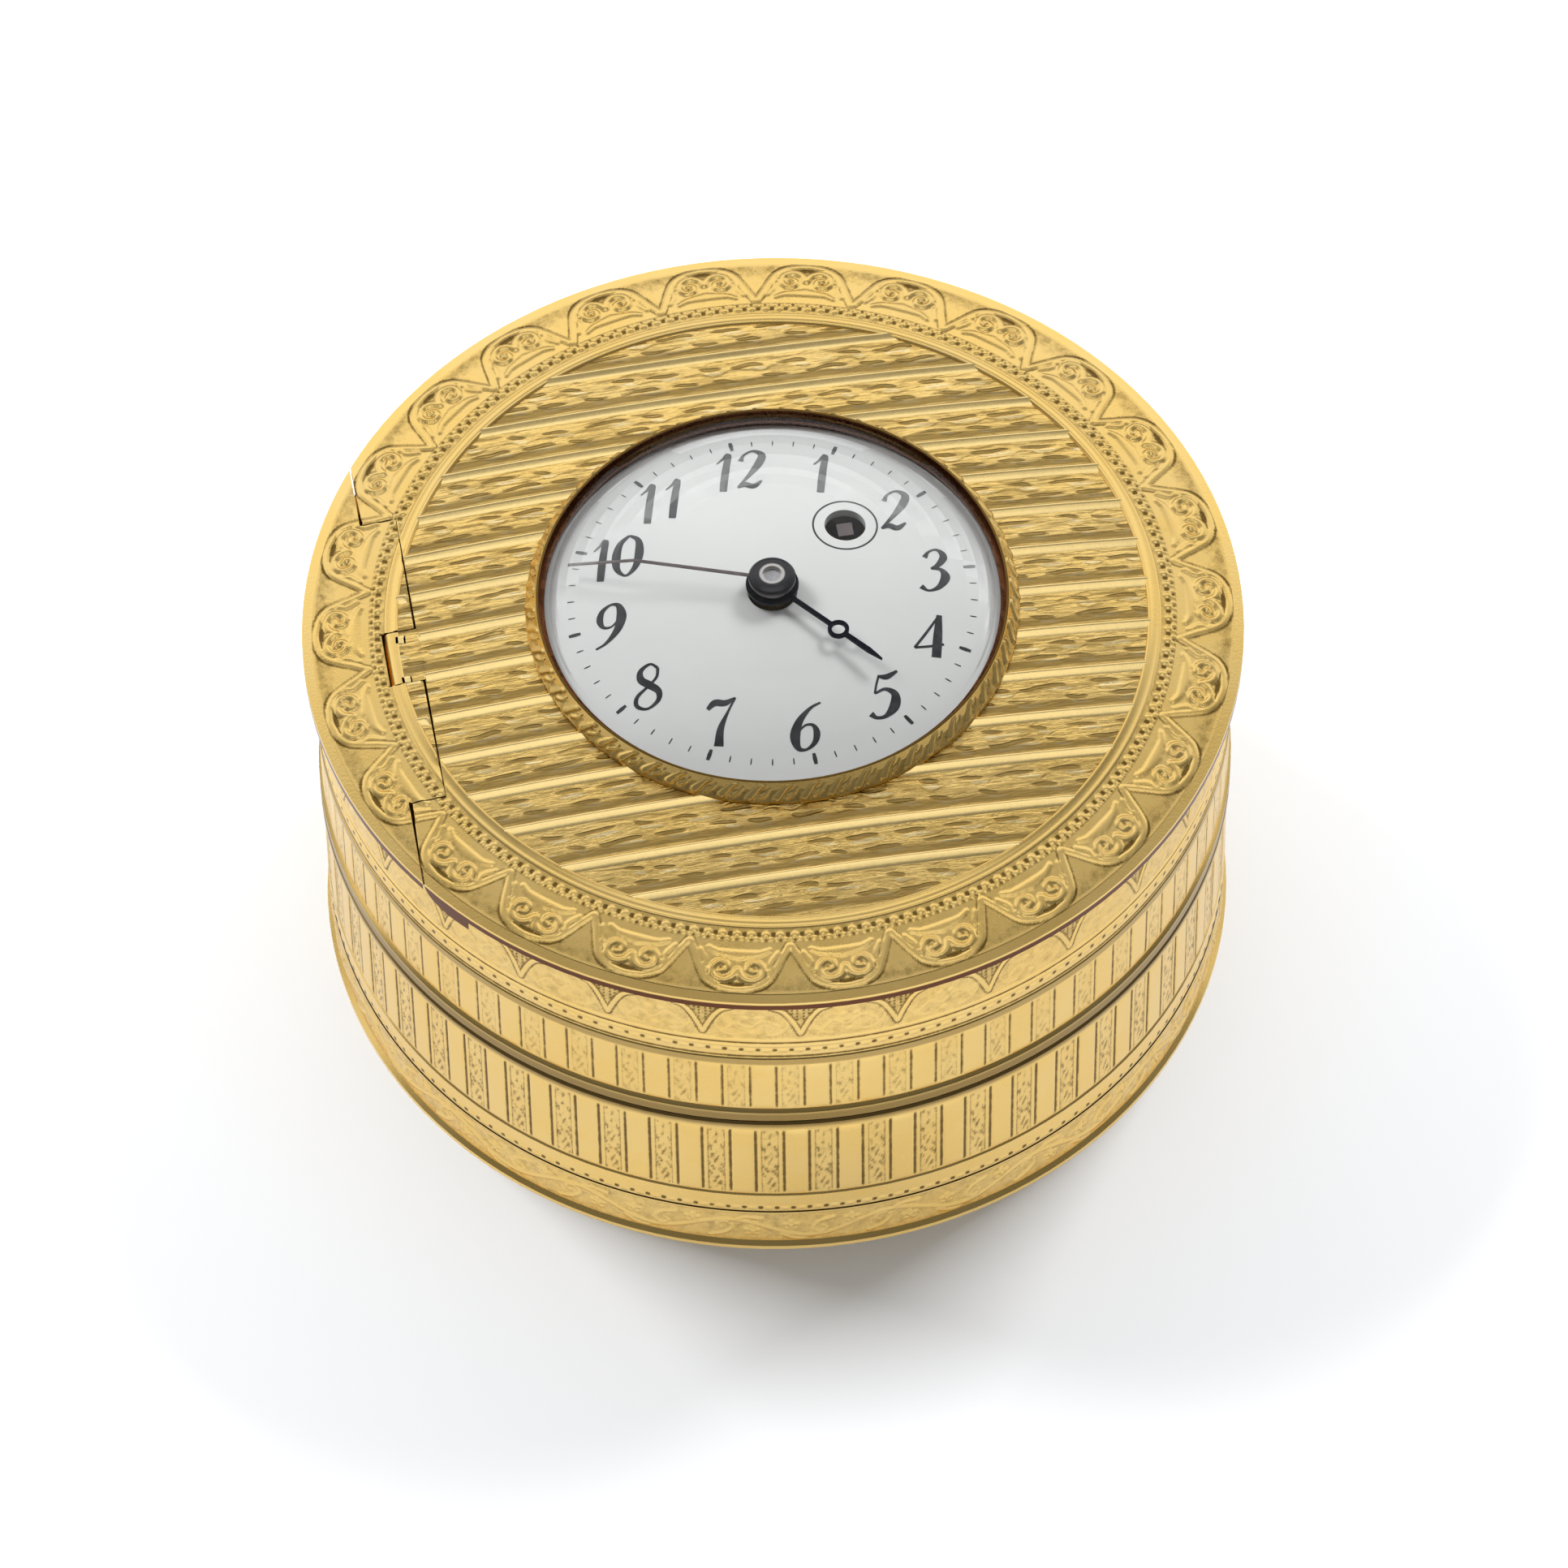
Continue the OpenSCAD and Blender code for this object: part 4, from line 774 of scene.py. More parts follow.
def keep_round(mesh, body):
    """Pull in what stands too far from the hinge's axis to turn past the other side."""
    for vert in mesh.verts:
        x, y, z = vert.co / MM
        seam = seam_at(y)
        level = HINGE_Z + (MIDDLE_LEVEL if seam == MIDDLE_SEAM else LEVEL)
        if body == "cover" and x < FIXED_SEAM and z > level:
            z = level
            vert.co.z = z * MM
        turning = HINGE_X < x < seam if body == "lid" else seam < x < HINGE_X
        far = math.hypot(x - HINGE_X, z - HINGE_Z)
        if turning and far > REACH[seam]:
            keep = REACH[seam] / far
            vert.co.x = (HINGE_X + (x - HINGE_X) * keep) * MM
            vert.co.z = (HINGE_Z + (z - HINGE_Z) * keep) * MM


print("seams at x:", FIXED_SEAM, MIDDLE_SEAM, LOOSE_SEAM)


# %% Cut the ornament at the hinge
def cut_at_hinge(piece, finish):
    """Split a piece of the cover's top along the hinge seams; returns what rides on the lid."""
    mesh = bmesh.new()
    mesh.from_mesh(piece.data)
    cuts = [((x + g, 0, 0), (1, 0, 0)) for x in REACH for g in (-SEAM_HALF, SEAM_HALF)]
    cuts += [((0, y + g, 0), (0, 1, 0)) for y in KNUCKLE_YS for g in (-SEAM_HALF, SEAM_HALF)]
    for place, normal in cuts:
        near = [f for f in mesh.faces if f.calc_center_median().x < (FIXED_SEAM + 1.0) * MM]
        edges = list(dict.fromkeys(e for f in near for e in f.edges))
        verts = list(dict.fromkeys(v for f in near for v in f.verts))
        bmesh.ops.bisect_plane(mesh, geom=near + edges + verts, dist=1e-8,
                               plane_co=Vector(place) * MM, plane_no=normal)
    kept = {"lid": [], "cover": [], "gap": []}
    for face in mesh.faces:
        middle = face.calc_center_median() / MM
        kept[hinge_side(middle.x, middle.y)].append(face)
    mesh.faces.index_update()
    on_lid = {f.index for f in kept["lid"]}
    fixed_mesh = mesh.copy()
    bmesh.ops.delete(fixed_mesh, geom=[f for i, f in enumerate(fixed_mesh.faces) if i not in on_lid],
                     context="FACES")
    bmesh.ops.delete(mesh, geom=kept["lid"] + kept["gap"], context="FACES")
    keep_round(mesh, "cover")
    keep_round(fixed_mesh, "lid")
    mesh.to_mesh(piece.data)
    fixed_data = bpy.data.meshes.new(piece.name + "_fixed")
    fixed_mesh.to_mesh(fixed_data)
    fixed_piece = add_object(piece.name + "_fixed", fixed_data)
    mesh.free()
    fixed_mesh.free()
    finish_piece(piece, "cover", finish)
    finish_piece(fixed_piece, "lid", finish)
    return fixed_piece


CUT_PIECES = ((border, gold_chased), (beads, gold_chased), (moulding, gold_plain), (ribs, gold_rib_highlight))
for piece, finish in CUT_PIECES:
    fixed = cut_at_hinge(piece, finish)
    print(piece.name, "faces:", len(piece.data.polygons), "cover,", len(fixed.data.polygons), "lid")

# %% [markdown]
# The wall's ornament is made in the same way as the border. Thirty flat arches stand under the
# rim. Narrow hatched triangles part them, and a loose sprig fills each arch.

# %% Arches below the groove
ARCH_COUNT = 30


def arch_rule(s, t):
    a = np.abs(s)
    gap, _ = curve_distance(a, t, curve_through([(3.36, 25.7), (3.12, 26.4), (2.8, 27.2), (2.45, 27.9),
                                                 (2.05, 28.4), (1.4, 28.75)]))
    band = soft_line(gap, 0, 0.16)
    line = soft_line(gap, 0.24, 0.10)
    sprig = stroke(s, t, [(-1.9, 26.1), (-1.1, 27.0), (-0.2, 26.5), (0.8, 27.3), (1.7, 26.8), (2.1, 26.0)],
                   0.24, 0.6)
    petals = np.maximum(knob(a, t, (0.45, 27.65), 0.26), knob(a, t, (0.0, 25.9), 0.26))
    side = stroke(a, t, [(1.1, 25.6), (1.9, 25.8), (2.5, 26.7), (2.3, 27.4)], 0.24, 0.5)
    edge = np.interp(t, [26.4, 27.2, 27.9, 28.4, 28.75], [3.12, 2.8, 2.45, 2.05, 1.4])
    wedge = np.clip((a - edge - 0.3) / 0.12, 0, 1) * np.clip((t - 26.9) / 0.2, 0, 1)
    hatch = wedge * np.clip(np.sin(9.0 * (t + a)) * np.sin(9.0 * (t - a)) * 2, 0, 1)
    foot = ledge(t, 24.8, 25.15, 0.1)
    tall = np.maximum.reduce([0.07 * band, 0.035 * sprig, 0.045 * petals, 0.03 * side, 0.06 * foot])
    worn = 0.48 + 5 * tall - 0.4 * line - 0.1 * wedge - 0.35 * hatch
    return tall - 0.02 * line * (t < 28.3), np.clip(worn, 0, 1)


arches = relief_ring("lid_arches", ARCH_COUNT, WALL_R, 24.75, 28.75, 60, 34, arch_rule, on_wall)
finish_piece(arches, "lid", gold_chased)
print("arch faces:", len(arches.data.polygons))

# %% [markdown]
# A bead row runs under the arches, and another one above the foot's scrolls. One function makes
# both. Their beads are low, and what shows from afar are the dark cuts between them.

# %% Bead rows of the wall
WALL_BEADS = 176
WALL_BEAD_STEP = 2 * math.pi * WALL_R / WALL_BEADS


def wall_beads(name, low, high, bead_z, lines, body):
    """A row of low beads with dark cuts between them, plain fillets and dark lines beyond."""
    def rule(s, t):
        near = soft_line(t, bead_z, 0.24)
        bead = np.sqrt(soft_line(s, 0, 0.34)) * near
        dash = soft_line(np.abs(s), WALL_BEAD_STEP / 2, 0.24) * near
        groove = sum(soft_line(t, z, 0.16) for z in lines)
        tall = 0.07 * bead + 0.05 * ledge(t, bead_z + 0.3, high - 0.3, 0.1)
        return tall - 0.02 * groove, np.clip(0.72 + 0.3 * bead - 0.95 * dash - 0.85 * groove, 0, 1)
    piece = relief_ring(name, WALL_BEADS, WALL_R, low, high, 9, 18, rule, on_wall)
    return finish_piece(piece, body, gold_chased)


wall_beads("lid_beads", 22.9, 24.85, 23.85, (23.1, 24.68), "lid")
wall_beads("base_beads", 4.1, 5.25, 4.7, (4.18,), "base")
print("bead rows made")

# %% [markdown]
# Between the bead rows the wall is fluted: plain pilasters stand between sunk panels, and dark
# cuts edge them. A scratched vine fills each panel. The lid's flutes are shorter and fainter, and
# they stand a little further round than the base's.

# %% Flutes
FLUTE_COUNT = 54
FLUTE_STEP = 2 * math.pi * WALL_R / FLUTE_COUNT


def flutes(name, low, high, depth, body, shift):
    """A ring of flutes between two heights, turned by a share of one flute."""
    def rule(s, t):
        away = np.abs(s)
        pilaster = np.clip((0.80 - away) / 0.1, 0, 1)
        cut = soft_line(away, 0.92, 0.14)
        fillet = soft_line(away, 1.12, 0.10)
        second = soft_line(away, 1.27, 0.10)
        inside = np.clip((away - 1.30) / 0.08, 0, 1)
        side = np.sign(s) * (FLUTE_STEP / 2 - away)
        squiggle = np.sin(4.1 * t + 1.2 * np.sin(7.0 * side)) * np.sin(7.5 * side + 1.9 * np.sin(1.7 * t))
        mark = np.clip(2.4 * squiggle - 0.6, 0, 1) * inside
        ends = ledge(t, low + 0.12, high - 0.12, 0.15)
        tall = depth * (0.07 * pilaster + 0.06 * fillet)
        dark = depth * ends * (cut + 0.3 * second + 0.35 * mark)
        worn = 0.55 + 0.35 * pilaster + 0.3 * fillet - dark
        return tall * ends - 0.02 * cut * ends, np.clip(worn, 0, 1)
    piece = relief_ring(name, FLUTE_COUNT, WALL_R, low, high, 32, 26, rule, on_wall)
    piece.data.transform(Matrix.Rotation(shift * 2 * math.pi / FLUTE_COUNT, 4, "Z"))
    return finish_piece(piece, body, gold_flutes)


flutes("base_flutes", 6.5, 14.25, 1.0, "base", 0.0)
flutes("lid_flutes", 16.85, 22.05, 0.55, "lid", 0.4)
print("flutes made")

# %% [markdown]
# At the foot a vine winds round the box. A sine wave makes its stem, and strokes and knobs make
# its curls, leaves and five-petalled flowers. Its ground is darker than the plain fillets.

# %% Scrolls at the foot
SCROLL_COUNT = 18
SCROLL_STEP = 2 * math.pi * WALL_R / SCROLL_COUNT


def foot_rule(s, t):
    wave = 2.2 + 0.9 * np.sin(2 * math.pi * s / SCROLL_STEP)
    vine = np.sqrt(soft_line(t, wave, 0.22))
    high_curl = stroke(s, t, [(-1.2, 3.3), (-2.2, 2.9), (-2.7, 2.1), (-2.2, 1.6), (-1.7, 2.0),
                              (-2.0, 2.35)], 0.36, 0.6)
    low_curl = stroke(s, t, [(1.3, 1.1), (2.3, 1.5), (2.9, 2.3), (2.4, 2.85), (1.8, 2.5),
                             (2.1, 2.05)], 0.36, 0.6)
    leaves = np.maximum(stroke(s, t, [(-4.8, 1.5), (-4.0, 1.0), (-3.1, 0.9)], 0.5, 0.3),
                        stroke(s, t, [(4.9, 3.4), (4.0, 3.5), (3.2, 3.3)], 0.5, 0.3))
    flowers = np.zeros(s.shape)
    for centre in ((0.1, 2.95), (-4.2, 2.6), (4.3, 1.9)):
        flowers = np.maximum(flowers, 1.2 * knob(s, t, centre, 0.22))
        for k in range(5):
            x, z = on_circle(0.42, 90 + 72 * k)
            flowers = np.maximum(flowers, 0.8 * knob(s, t, (centre[0] + x, centre[1] + z), 0.23))
    curls = np.maximum(high_curl, low_curl)
    tall = np.maximum.reduce([0.09 * vine, 0.11 * curls, 0.09 * leaves, 0.13 * flowers])
    edge = ledge(t, 0.3, 0.55, 0.08) + ledge(t, 3.95, 4.2, 0.08)
    return np.maximum(tall, 0.06 * edge), np.clip(0.46 + 4 * tall + 0.4 * edge, 0, 1)


foot_scrolls = relief_ring("foot_scrolls", SCROLL_COUNT, WALL_R, 0.4, 4.15, 96, 32, foot_rule, on_wall)
finish_piece(foot_scrolls, "base", gold_chased)
print("scroll faces:", len(foot_scrolls.data.polygons))

# %% [markdown]
# The bezel is cast with a wreath of small leaves on its outer slope. One leaf is a low grid
# again, wrapped on the slope's section, so that it follows the bezel's own edge. A line of
# painted shade closes the wreath where the glass is set in.

# %% Leaves of the bezel
LEAF_COUNT = 56
LEAF_R = 16.9
SLOPE_T = (0.0, 0.66, 1.42, 1.56)
SLOPE_R = (17.3, 16.9, 16.5, 16.36)
SLOPE_Z = (32.30, 32.84, 33.49, 33.51)
SLOPE_OUT = (0.83, 0.56)


def on_bezel(s, t, lift):
    angle = s / LEAF_R
    out = lift - PROUD + 0.01
    r = np.interp(t, SLOPE_T, SLOPE_R) + SLOPE_OUT[0] * out
    z = np.interp(t, SLOPE_T, SLOPE_Z) + SLOPE_OUT[1] * out
    return r * np.sin(angle), -r * np.cos(angle), z


def leaf_rule(s, t):
    leaf = stroke(s, t, [(-0.55, 0.3), (-0.15, 0.75), (0.2, 1.1), (0.5, 1.2)], 0.62, 0.45)
    turn_over = stroke(s, t, [(0.2, 0.35), (0.62, 0.6), (0.9, 1.05)], 0.34, 0.5)
    vein = stroke(s, t, [(-0.5, 0.35), (-0.1, 0.78), (0.25, 1.12)], 0.1)
    inner = ledge(t, 1.34, 1.56, 0.06)
    tall = np.maximum.reduce([0.17 * leaf - 0.05 * vein, 0.11 * turn_over, 0.05 * inner])
    # Painted shade: a dark line at the inner edge, where the glass is set in.
    glass_shade_line = np.clip((t - 1.42) / 0.06, 0, 1)
    return tall, np.clip(0.40 + 4.5 * tall - 0.3 * vein, 0, 1) * (1 - glass_shade_line) - 0.6 * glass_shade_line


leaves = relief_ring("bezel_leaves", LEAF_COUNT, LEAF_R, 0.05, 1.56, 18, 14, leaf_rule, on_bezel)
finish_piece(leaves, "cover", gold_chased)
print("leaf faces:", len(leaves.data.polygons))

# %% [markdown]
# Between the ribs the field is engine turned. A straight-line engine cut wavy lines there, each
# half a wave out of step with the next, so that they part and meet and leave lens-shaped gaps.
# Such cuts are a tenth of a millimetre wide, so they are drawn in the material: a ramp turns
# the height on the cover into the count of ribs passed, and sines of the distance along the
# rib bend the lines. Beside them the material paints light: a highlight below each lens, a
# line of shade behind each rib, and shade on the underside of the rim. The cover's inside is
# left plain.

# %% Engine-turned gold
RIB_SPAN = 3.546
RIB_STEPS = len(RIB_YS) + 1.0
FIELD_LOW = -26.4
FIELD_HIGH = 26.85
MARK_DEEP = 0.85
RIM_SHADE = (0.13, 0.045, 0.018)
LENS_PITCH = 3.3
LENS_HALF = (1.25, 0.18)
SHINE_COLOUR = (0.98, 0.78, 0.40)
LENS_ROWS = ((1.35, 0.0), (2.45, 1.5))
WAVE_LINES = ((1.0, 0.0, 0.12), (1.9, 3.14, 0.20), (2.85, 0.0, 0.12))


def turned_finish(name):
    turned = Finish(name)
    place = turned.place()
    x, y, z = turned.split(place)
    radius = (x * x + y * y) ** 0.5
    sunk = z - (RIM_Z + DOME_RISE) + radius * radius * (DOME_RISE / RIM_R ** 2)
    on_field = turned.ramp(radius, 26.6, 26.4) * turned.ramp(sunk, -0.25, -0.15)
    heights = [FIELD_LOW, *RIB_YS[::-1], FIELD_HIGH]
    stops = [((v - FIELD_LOW) / (FIELD_HIGH - FIELD_LOW), (i / RIB_STEPS,) * 3)
             for i, v in enumerate(heights)]
    share = (y - FIELD_LOW) * (1 / (FIELD_HIGH - FIELD_LOW))
    passed = turned.node("ShaderNodeValToRGB", {"stops": stops}, 0, Fac=share) * RIB_STEPS
    band = passed.math("FLOOR", passed)
    inside = (passed - band) * RIB_SPAN
    wander = turned.noise(place, 0.35, 1.0, 0.5)
    along = x + 1.7 * band + 4.0 * wander
    lenses, shines = [], []
    for at, shift in LENS_ROWS:
        cell = (along + shift) * (1 / LENS_PITCH)
        aside = (cell - cell.math("FLOOR", cell) - 0.5) * LENS_PITCH
        up = inside - at + 0.03 * aside + 0.8 * (wander - 0.5)
        gap = (aside * (1 / LENS_HALF[0])) ** 2.0 + (up * (1 / LENS_HALF[1])) ** 2.0
        lenses.append(1.0 - turned.ramp(gap, 0.25, 1.0))
        below = (aside - 0.5) ** 2.0 + ((up + 0.36) * (1 / 0.17)) ** 2.0
        shines.append(1.0 - turned.ramp(below, 0.3, 1.0))
    lenses, shines, cuts = highest(lenses), highest(shines), []
    for at, phase, size in WAVE_LINES:
        bend = (along * (2 * math.pi / LENS_PITCH) + phase).sine()
        gap = abs(inside - at - size * bend)
        cuts.append(1.0 - turned.ramp(gap, 0.02, 0.12))
    drawn_out = turned.node("ShaderNodeVectorMath", {"operation": "MULTIPLY"}, in0=place,
                            in1=(0.35, 3.4, 1.0))
    streaks = turned.noise(drawn_out, 1.0, 3.0, 0.6)
    cuts = highest(cuts) * turned.ramp(streaks, 0.38, 0.6)
    # Painted shade: a dark line just behind each rib, where its short slope falls away.
    beside = 1.0 - turned.ramp(abs(inside - 0.82), 0.14, 0.44)
    marks = 0.95 * lenses * turned.ramp(streaks, 0.2, 0.45) + 0.3 * cuts
    marks = marks + 0.5 * turned.ramp(streaks, 0.42, 0.64) + 0.95 * beside
    marks = marks.math("MINIMUM", marks, 1.0) * on_field * MARK_DEEP
    fine = turned.noise(place, 5.0, 2.0, 0.6)
    clouds, warm = clouded_gold(turned, place)
    # Painted highlight: the gold is paler in a spot below each lens.
    lit = turned.mix(shines * on_field * 0.9, warm, SHINE_COLOUR)
    # The dark gold paints the engine-turned cuts and the painted shade behind the ribs.
    tint = turned.mix(marks * 0.85, lit, GOLD_HOLLOWS_AND_SHADE)
    # Painted shade: the underside of the rim is darkened.
    painted_shade_under_rim = turned.ramp(z, 30.22, 30.1) * turned.ramp(radius, 32.6, 32.8)
    tint = turned.mix(painted_shade_under_rim, tint, RIM_SHADE)
    turned.set(Metallic=1.0, Base_Color=tint, Roughness=0.19 + 0.1 * clouds + 0.15 * marks)
    turned.bump(fine * 0.1 - (lenses + 0.4 * cuts - 0.9 * streaks) * on_field, 0.075, 1.0)
    return turned


gold_turned = turned_finish("engine_turned_gold")
cut_at_hinge(skin, gold_turned)
print("engine turning made")

# %% [markdown]
# The reeded groove under the rim lies in shade, which is painted into its colour as a dark
# reddish brown. Its fine upright reeds are striped lighter on their edges, a painted highlight.

# %% Reeded groove
reeded = Finish("reeded_groove")
place = reeded.place()
x, y, z = reeded.split(place)
angle = x.math("ARCTAN2", x, y)
reed = (angle * 370.0).sine()
dusk = reeded.noise(place, 0.5, 2.0, 0.5)
# Painted shade and painted highlight: dark reddish brown, lighter on the reeds' edges.
reeded.set(Metallic=1.0, Roughness=0.45,
           Base_Color=reeded.mix(reeded.ramp(reed, -0.4, 0.9), (0.10, 0.03, 0.012), (0.36, 0.14, 0.06)))
reeded.bump(reed + 0.3 * dusk, 0.05, 0.8)
print("groove made")

# %% [markdown]
# The dial is white enamel, fired on copper. It is very slightly uneven and has a few fine dark
# specks. Its numerals are painted in a thin black that varies a little in density.

# %% Enamel and paint
enamel = Finish("white_enamel")
place = enamel.place()
tone = enamel.noise(place, 0.12, 2.0, 0.5)
speck = enamel.noise(place, 1.6, 1.0, 0.5)
base = enamel.mix(tone, (0.45, 0.46, 0.45), (0.495, 0.505, 0.50))
spots = enamel.ramp(speck, 0.80, 0.86) * 0.35
enamel.set(Base_Color=enamel.mix(spots, base, (0.35, 0.33, 0.30)), Roughness=0.42 + 0.06 * tone)
enamel.bump(tone, 0.15, 0.3)

paint = Finish("black_paint")
place = paint.place()
thin = paint.noise(place, 1.4, 3.0, 0.6)
paint.set(Base_Color=paint.mix(paint.ramp(thin, 0.35, 0.8), (0.008, 0.009, 0.011), (0.035, 0.035, 0.040)),
          Roughness=0.35)
print("enamel made")

# %% [markdown]
# The numerals stand upright and lean a little, with the strong contrast of thick and thin strokes
# of their time. Each digit is a few curves whose points also carry the brush's width, in a box
# 100 units high, and a flat ribbon of that width is laid along them on the dial's dome.

# %% Digits and their brush
DIAL_EDGE_R = 16.05
DIAL_TOP = 32.26
DIAL_RISE = 1.5
DIAL_TURN = 2.7
NUMERAL_R = 11.55
NUMERAL_HIGH = 3.6
NUMERAL_LEAN = 0.26
STROKE_FULL = 1.1
THINNEST = 0.035
DIGIT_STEP = 0.50
DIGIT_MIDDLE = 0.30
TRACK_R = 14.1
PAINT_T = 0.015


def on_dial(x, y):
    z = DIAL_TOP + DIAL_RISE * (1 - (x * x + y * y) / DIAL_EDGE_R ** 2) + PAINT_T
    return Vector((x, y, z)) * MM


def dial_point(x, y):
    return Matrix.Rotation(math.radians(DIAL_TURN), 3, "Z") @ on_dial(x, y)


DIGITS = {
    "0": [[(30, 99, 5), (12, 82, 11), (6, 50, 16), (10, 20, 11), (28, 1, 5), (46, 18, 11),
           (52, 50, 16), (48, 82, 11), (30, 99, 5)]],
    "1": [[(10, 80, 3), (22, 90, 6), (32, 99, 11), (30, 70, 13), (28, 35, 14), (27, 2, 13)]],
    "2": [[(8, 76, 10), (14, 92, 5), (32, 99, 6), (50, 84, 14), (44, 60, 15), (26, 32, 8), (6, 6, 4)],
          [(6, 6, 5), (20, 11, 12), (38, 3, 12), (54, 14, 4)]],
    "3": [[(10, 82, 10), (18, 95, 5), (34, 98, 6), (48, 80, 14), (38, 60, 10), (24, 53, 4)],
          [(24, 53, 4), (44, 48, 8), (54, 28, 17), (42, 6, 10), (22, 0, 5), (6, 12, 11)]],
    "4": [[(46, 99, 4), (24, 64, 5), (0, 30, 5)],
          [(0, 30, 5), (30, 29, 5), (58, 30, 5)],
          [(46, 99, 10), (45, 50, 16), (44, 2, 17)]],
    "5": [[(18, 95, 4), (14, 75, 4), (12, 55, 4)],
          [(18, 92, 6), (34, 89, 11), (54, 99, 5)],
          [(12, 55, 4), (32, 62, 7), (52, 48, 14), (52, 22, 18), (36, 3, 8), (18, 2, 7), (6, 12, 12)]],
    "6": [[(54, 97, 4), (34, 88, 6), (14, 64, 13), (7, 34, 18), (14, 8, 11), (30, 1, 5), (46, 12, 9),
           (50, 32, 12), (42, 50, 7), (26, 53, 4), (12, 40, 4)]],
    "7": [[(2, 86, 7), (16, 97, 13), (36, 92, 12), (56, 99, 4)],
          [(56, 99, 4), (42, 70, 5), (30, 38, 12), (28, 2, 17)]],
    "8": [[(46, 86, 6), (30, 99, 5), (12, 88, 9), (14, 68, 14), (32, 52, 15), (50, 34, 12),
           (50, 14, 8), (30, 1, 5), (9, 12, 8), (8, 32, 7), (28, 50, 5), (44, 66, 5), (46, 86, 6)]],
    "9": [[(4, 3, 4), (24, 12, 6), (44, 36, 13), (51, 66, 18), (44, 92, 11), (28, 99, 5), (12, 88, 9),
           (8, 68, 12), (16, 50, 7), (32, 47, 4), (46, 60, 4)]],
}


def ribbon(work, points, widths, to_place):
    """Lay a flat ribbon of changing width along a curve."""
    rows = []
    for i, point in enumerate(points):
        ahead = points[min(i + 1, len(points) - 1)] - points[max(i - 1, 0)]
        side = np.array([-ahead[1], ahead[0]]) / max(np.hypot(*ahead), 1e-9)
        pair = [point + side * widths[i] / 2, point - side * widths[i] / 2]
        rows.append([work.verts.new(to_place(*p)) for p in pair])
    for (a, b), (c, d) in zip(rows, rows[1:]):
        work.faces.new((a, b, d, c))


def new_mesh_piece(name, work):
    data = bpy.data.meshes.new(name)
    work.normal_update()
    for face in work.faces:
        if face.normal.z < 0:
            face.normal_flip()
    work.to_mesh(data)
    work.free()
    return add_object(name, data)


print("digits:", len(DIGITS))

# %% [markdown]
# Twelve numerals, sixty minute marks and the ring round the winding hole are painted with it.
# Numerals and marks are turned with the dial, which sits a few degrees round on the real clock.

# %% Paint on the dial
work = bmesh.new()
for hour in range(1, 13):
    word = str(hour)
    middle = np.array(on_circle(NUMERAL_R, 90 - 30 * hour))
    for place_in_word, digit in enumerate(word):
        shift = (place_in_word - (len(word) - 1) / 2) * DIGIT_STEP - DIGIT_MIDDLE
        for strokes in DIGITS[digit]:
            curve = curve_through(np.array(strokes) / 100, 6)
            points = [middle + NUMERAL_HIGH * np.array([x + shift + NUMERAL_LEAN * (y - 0.5), y - 0.5])
                      for x, y, w in curve]
            widths = [max(w, THINNEST) * NUMERAL_HIGH * STROKE_FULL for x, y, w in curve]
            ribbon(work, points, widths, dial_point)
numerals = new_mesh_piece("numerals", work)

work = bmesh.new()
for minute in range(60):
    heavy = minute % 5 == 0
    half, wide = (0.42, 0.30) if heavy else (0.24, 0.09)
    inner = np.array(on_circle(TRACK_R - half, 90 - 6 * minute))
    outer = np.array(on_circle(TRACK_R + half, 90 - 6 * minute))
    ribbon(work, [inner, (inner + outer) / 2, outer], [wide * 0.7, wide, wide * 0.8], dial_point)
track = new_mesh_piece("minute_track", work)

WIND_XY = np.array((6.018, 5.195))
WIND_RING_R = 2.25
work = bmesh.new()
ring = [WIND_XY + np.array(on_circle(WIND_RING_R, 7.5 * k)) for k in range(49)]
ribbon(work, ring, [0.13] * len(ring), on_dial)
wind_ring = new_mesh_piece("winding_ring", work)

for piece in (numerals, track, wind_ring):
    finish_piece(piece, "lid", paint)
print("dial paint faces:", len(numerals.data.polygons) + len(track.data.polygons))

# %% [markdown]
# The crystal is thin clear glass. Light passes it to the dial, and the eye sees its gloss, so a
# Fresnel factor mixes a clear and a glossy shader.

# %% Crystal
CRYSTAL_SHARE = 0.28
crystal = Finish("clear_crystal")
clear = crystal.nodes.new("ShaderNodeBsdfTransparent")
gloss = crystal.nodes.new("ShaderNodeBsdfGlossy")
gloss.inputs["Roughness"].default_value = 0.02
edge = crystal.node("ShaderNodeFresnel", None, 0, IOR=1.35)
glass_mix = crystal.nodes.new("ShaderNodeMixShader")
crystal.put(glass_mix.inputs[0], edge * CRYSTAL_SHARE)
crystal.link((clear, glass_mix.inputs[1]), (gloss, glass_mix.inputs[2]),
             (glass_mix, crystal.output.inputs[0]))
print("crystal made")

# %% [markdown]
# The movement is gilt brass with steel arbors. Its screws and the hour hand are blued, and the
# minute hand has gone grey. Each is one plain metal with faint clouds in its colour and polish.


# %% Metals of the movement
def metal_finish(name, colour, dark, rough, scale=1.2, grain=0.01):
    """A plain metal with faint clouds in colour and polish."""
    metal = Finish(name)
    place = metal.place()
    clouds = metal.noise(place, scale, 3.0, 0.6)
    metal.set(Metallic=1.0, Base_Color=metal.mix(metal.ramp(clouds, 0.3, 0.75) * 0.5, colour, dark),
              Roughness=rough + 0.12 * clouds)
    metal.bump(metal.noise(place, scale * 12, 2.0, 0.6), grain, 0.5)
    return metal


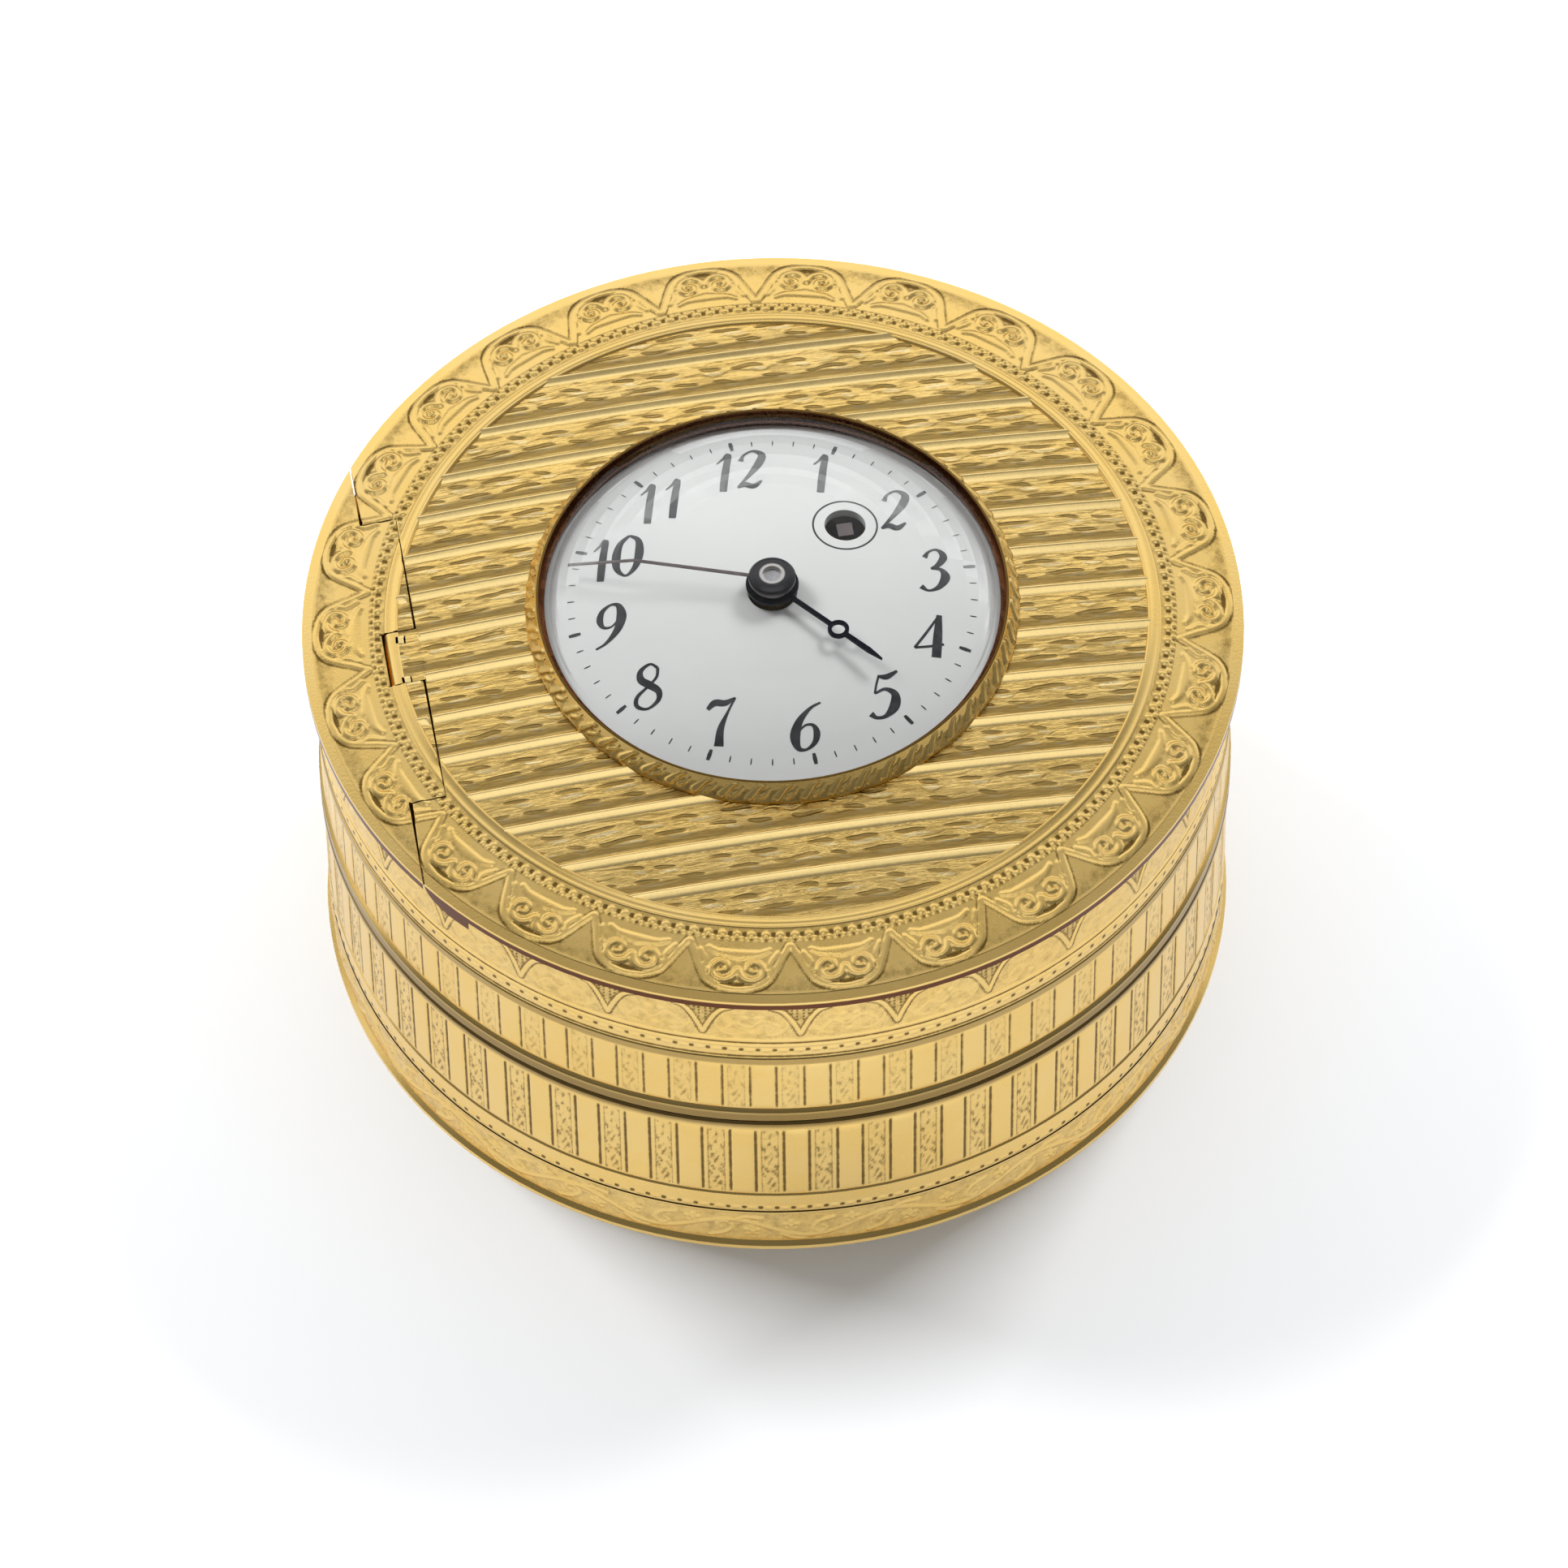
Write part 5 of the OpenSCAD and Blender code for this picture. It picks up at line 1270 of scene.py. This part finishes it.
brass = metal_finish("gilt_brass", (0.80, 0.57, 0.23), (0.62, 0.40, 0.13), 0.32)
steel = metal_finish("polished_steel", (0.46, 0.46, 0.48), (0.26, 0.26, 0.28), 0.22)
blued = metal_finish("blued_steel", (0.016, 0.017, 0.026), (0.008, 0.008, 0.012), 0.35)
copper = metal_finish("copper", (0.72, 0.30, 0.17), (0.45, 0.17, 0.09), 0.35)
grey_hand = metal_finish("grey_hand", (0.20, 0.17, 0.17), (0.12, 0.10, 0.10), 0.35)
print("metals made")

# %% [markdown]
# Two small parts change colour with their distance from the clock's axis. The boss on the hands
# has a bright turned ring, and shade is painted dark on the bezel's inner edge where the glass is
# set in.


# %% Boss and bezel
def axis_distance(finish, place):
    x, y, _ = finish.split(place)
    return (x * x + y * y) ** 0.5


boss = Finish("boss_steel")
from_axis = axis_distance(boss, boss.place())
bright_ring = boss.ramp(from_axis, 0.48, 0.60) * boss.ramp(from_axis, 0.95, 0.82)
boss.set(Metallic=1.0, Roughness=0.3,
         Base_Color=boss.mix(bright_ring, (0.05, 0.05, 0.055), (0.62, 0.60, 0.58)))
gold_bezel = gold_finish("bezel_gold")
# Painted shade: the bezel's inner edge is darkened where the glass is set in.
painted_shade_at_glass = gold_bezel.ramp(axis_distance(gold_bezel, gold_bezel.at), 16.5, 16.4)
gold_bezel.set(Base_Color=gold_bezel.mix(painted_shade_at_glass, gold_bezel.tint, (0.16, 0.06, 0.025)))
print("boss and bezel made")

# %% [markdown]
# Last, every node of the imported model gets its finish, by its material slot or by its own name.

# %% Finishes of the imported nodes
by_slot = {"gold": gold_plain, "movement_brass": brass, "steel": steel, "blued_steel": blued,
           "copper": copper, "enamel": enamel, "crystal": crystal}
by_node = {"top_cover": gold_turned, "hinge_segment": gold_turned, "cover_lip": reeded,
           "glass_bezel": gold_bezel, "hand_boss": boss, "minute_hand": grey_hand,
           "winding_arbor": grey_hand, "base_wall": gold_wall, "lid_band": gold_wall,
           "base_plate": gold_inside, "gorge": gold_inside, "lid_partition": gold_inside,
           "movement_seat": gold_inside}
slots = {s["node"]: s["material_slot"] for s in frame["record"]["subparts"]}
for name, node in frame["nodes"].items():
    finish = by_node.get(name) or by_slot[slots[name]]
    node.data.materials.clear()
    node.data.materials.append(finish.material)
print("nodes finished:", len(frame["nodes"]))
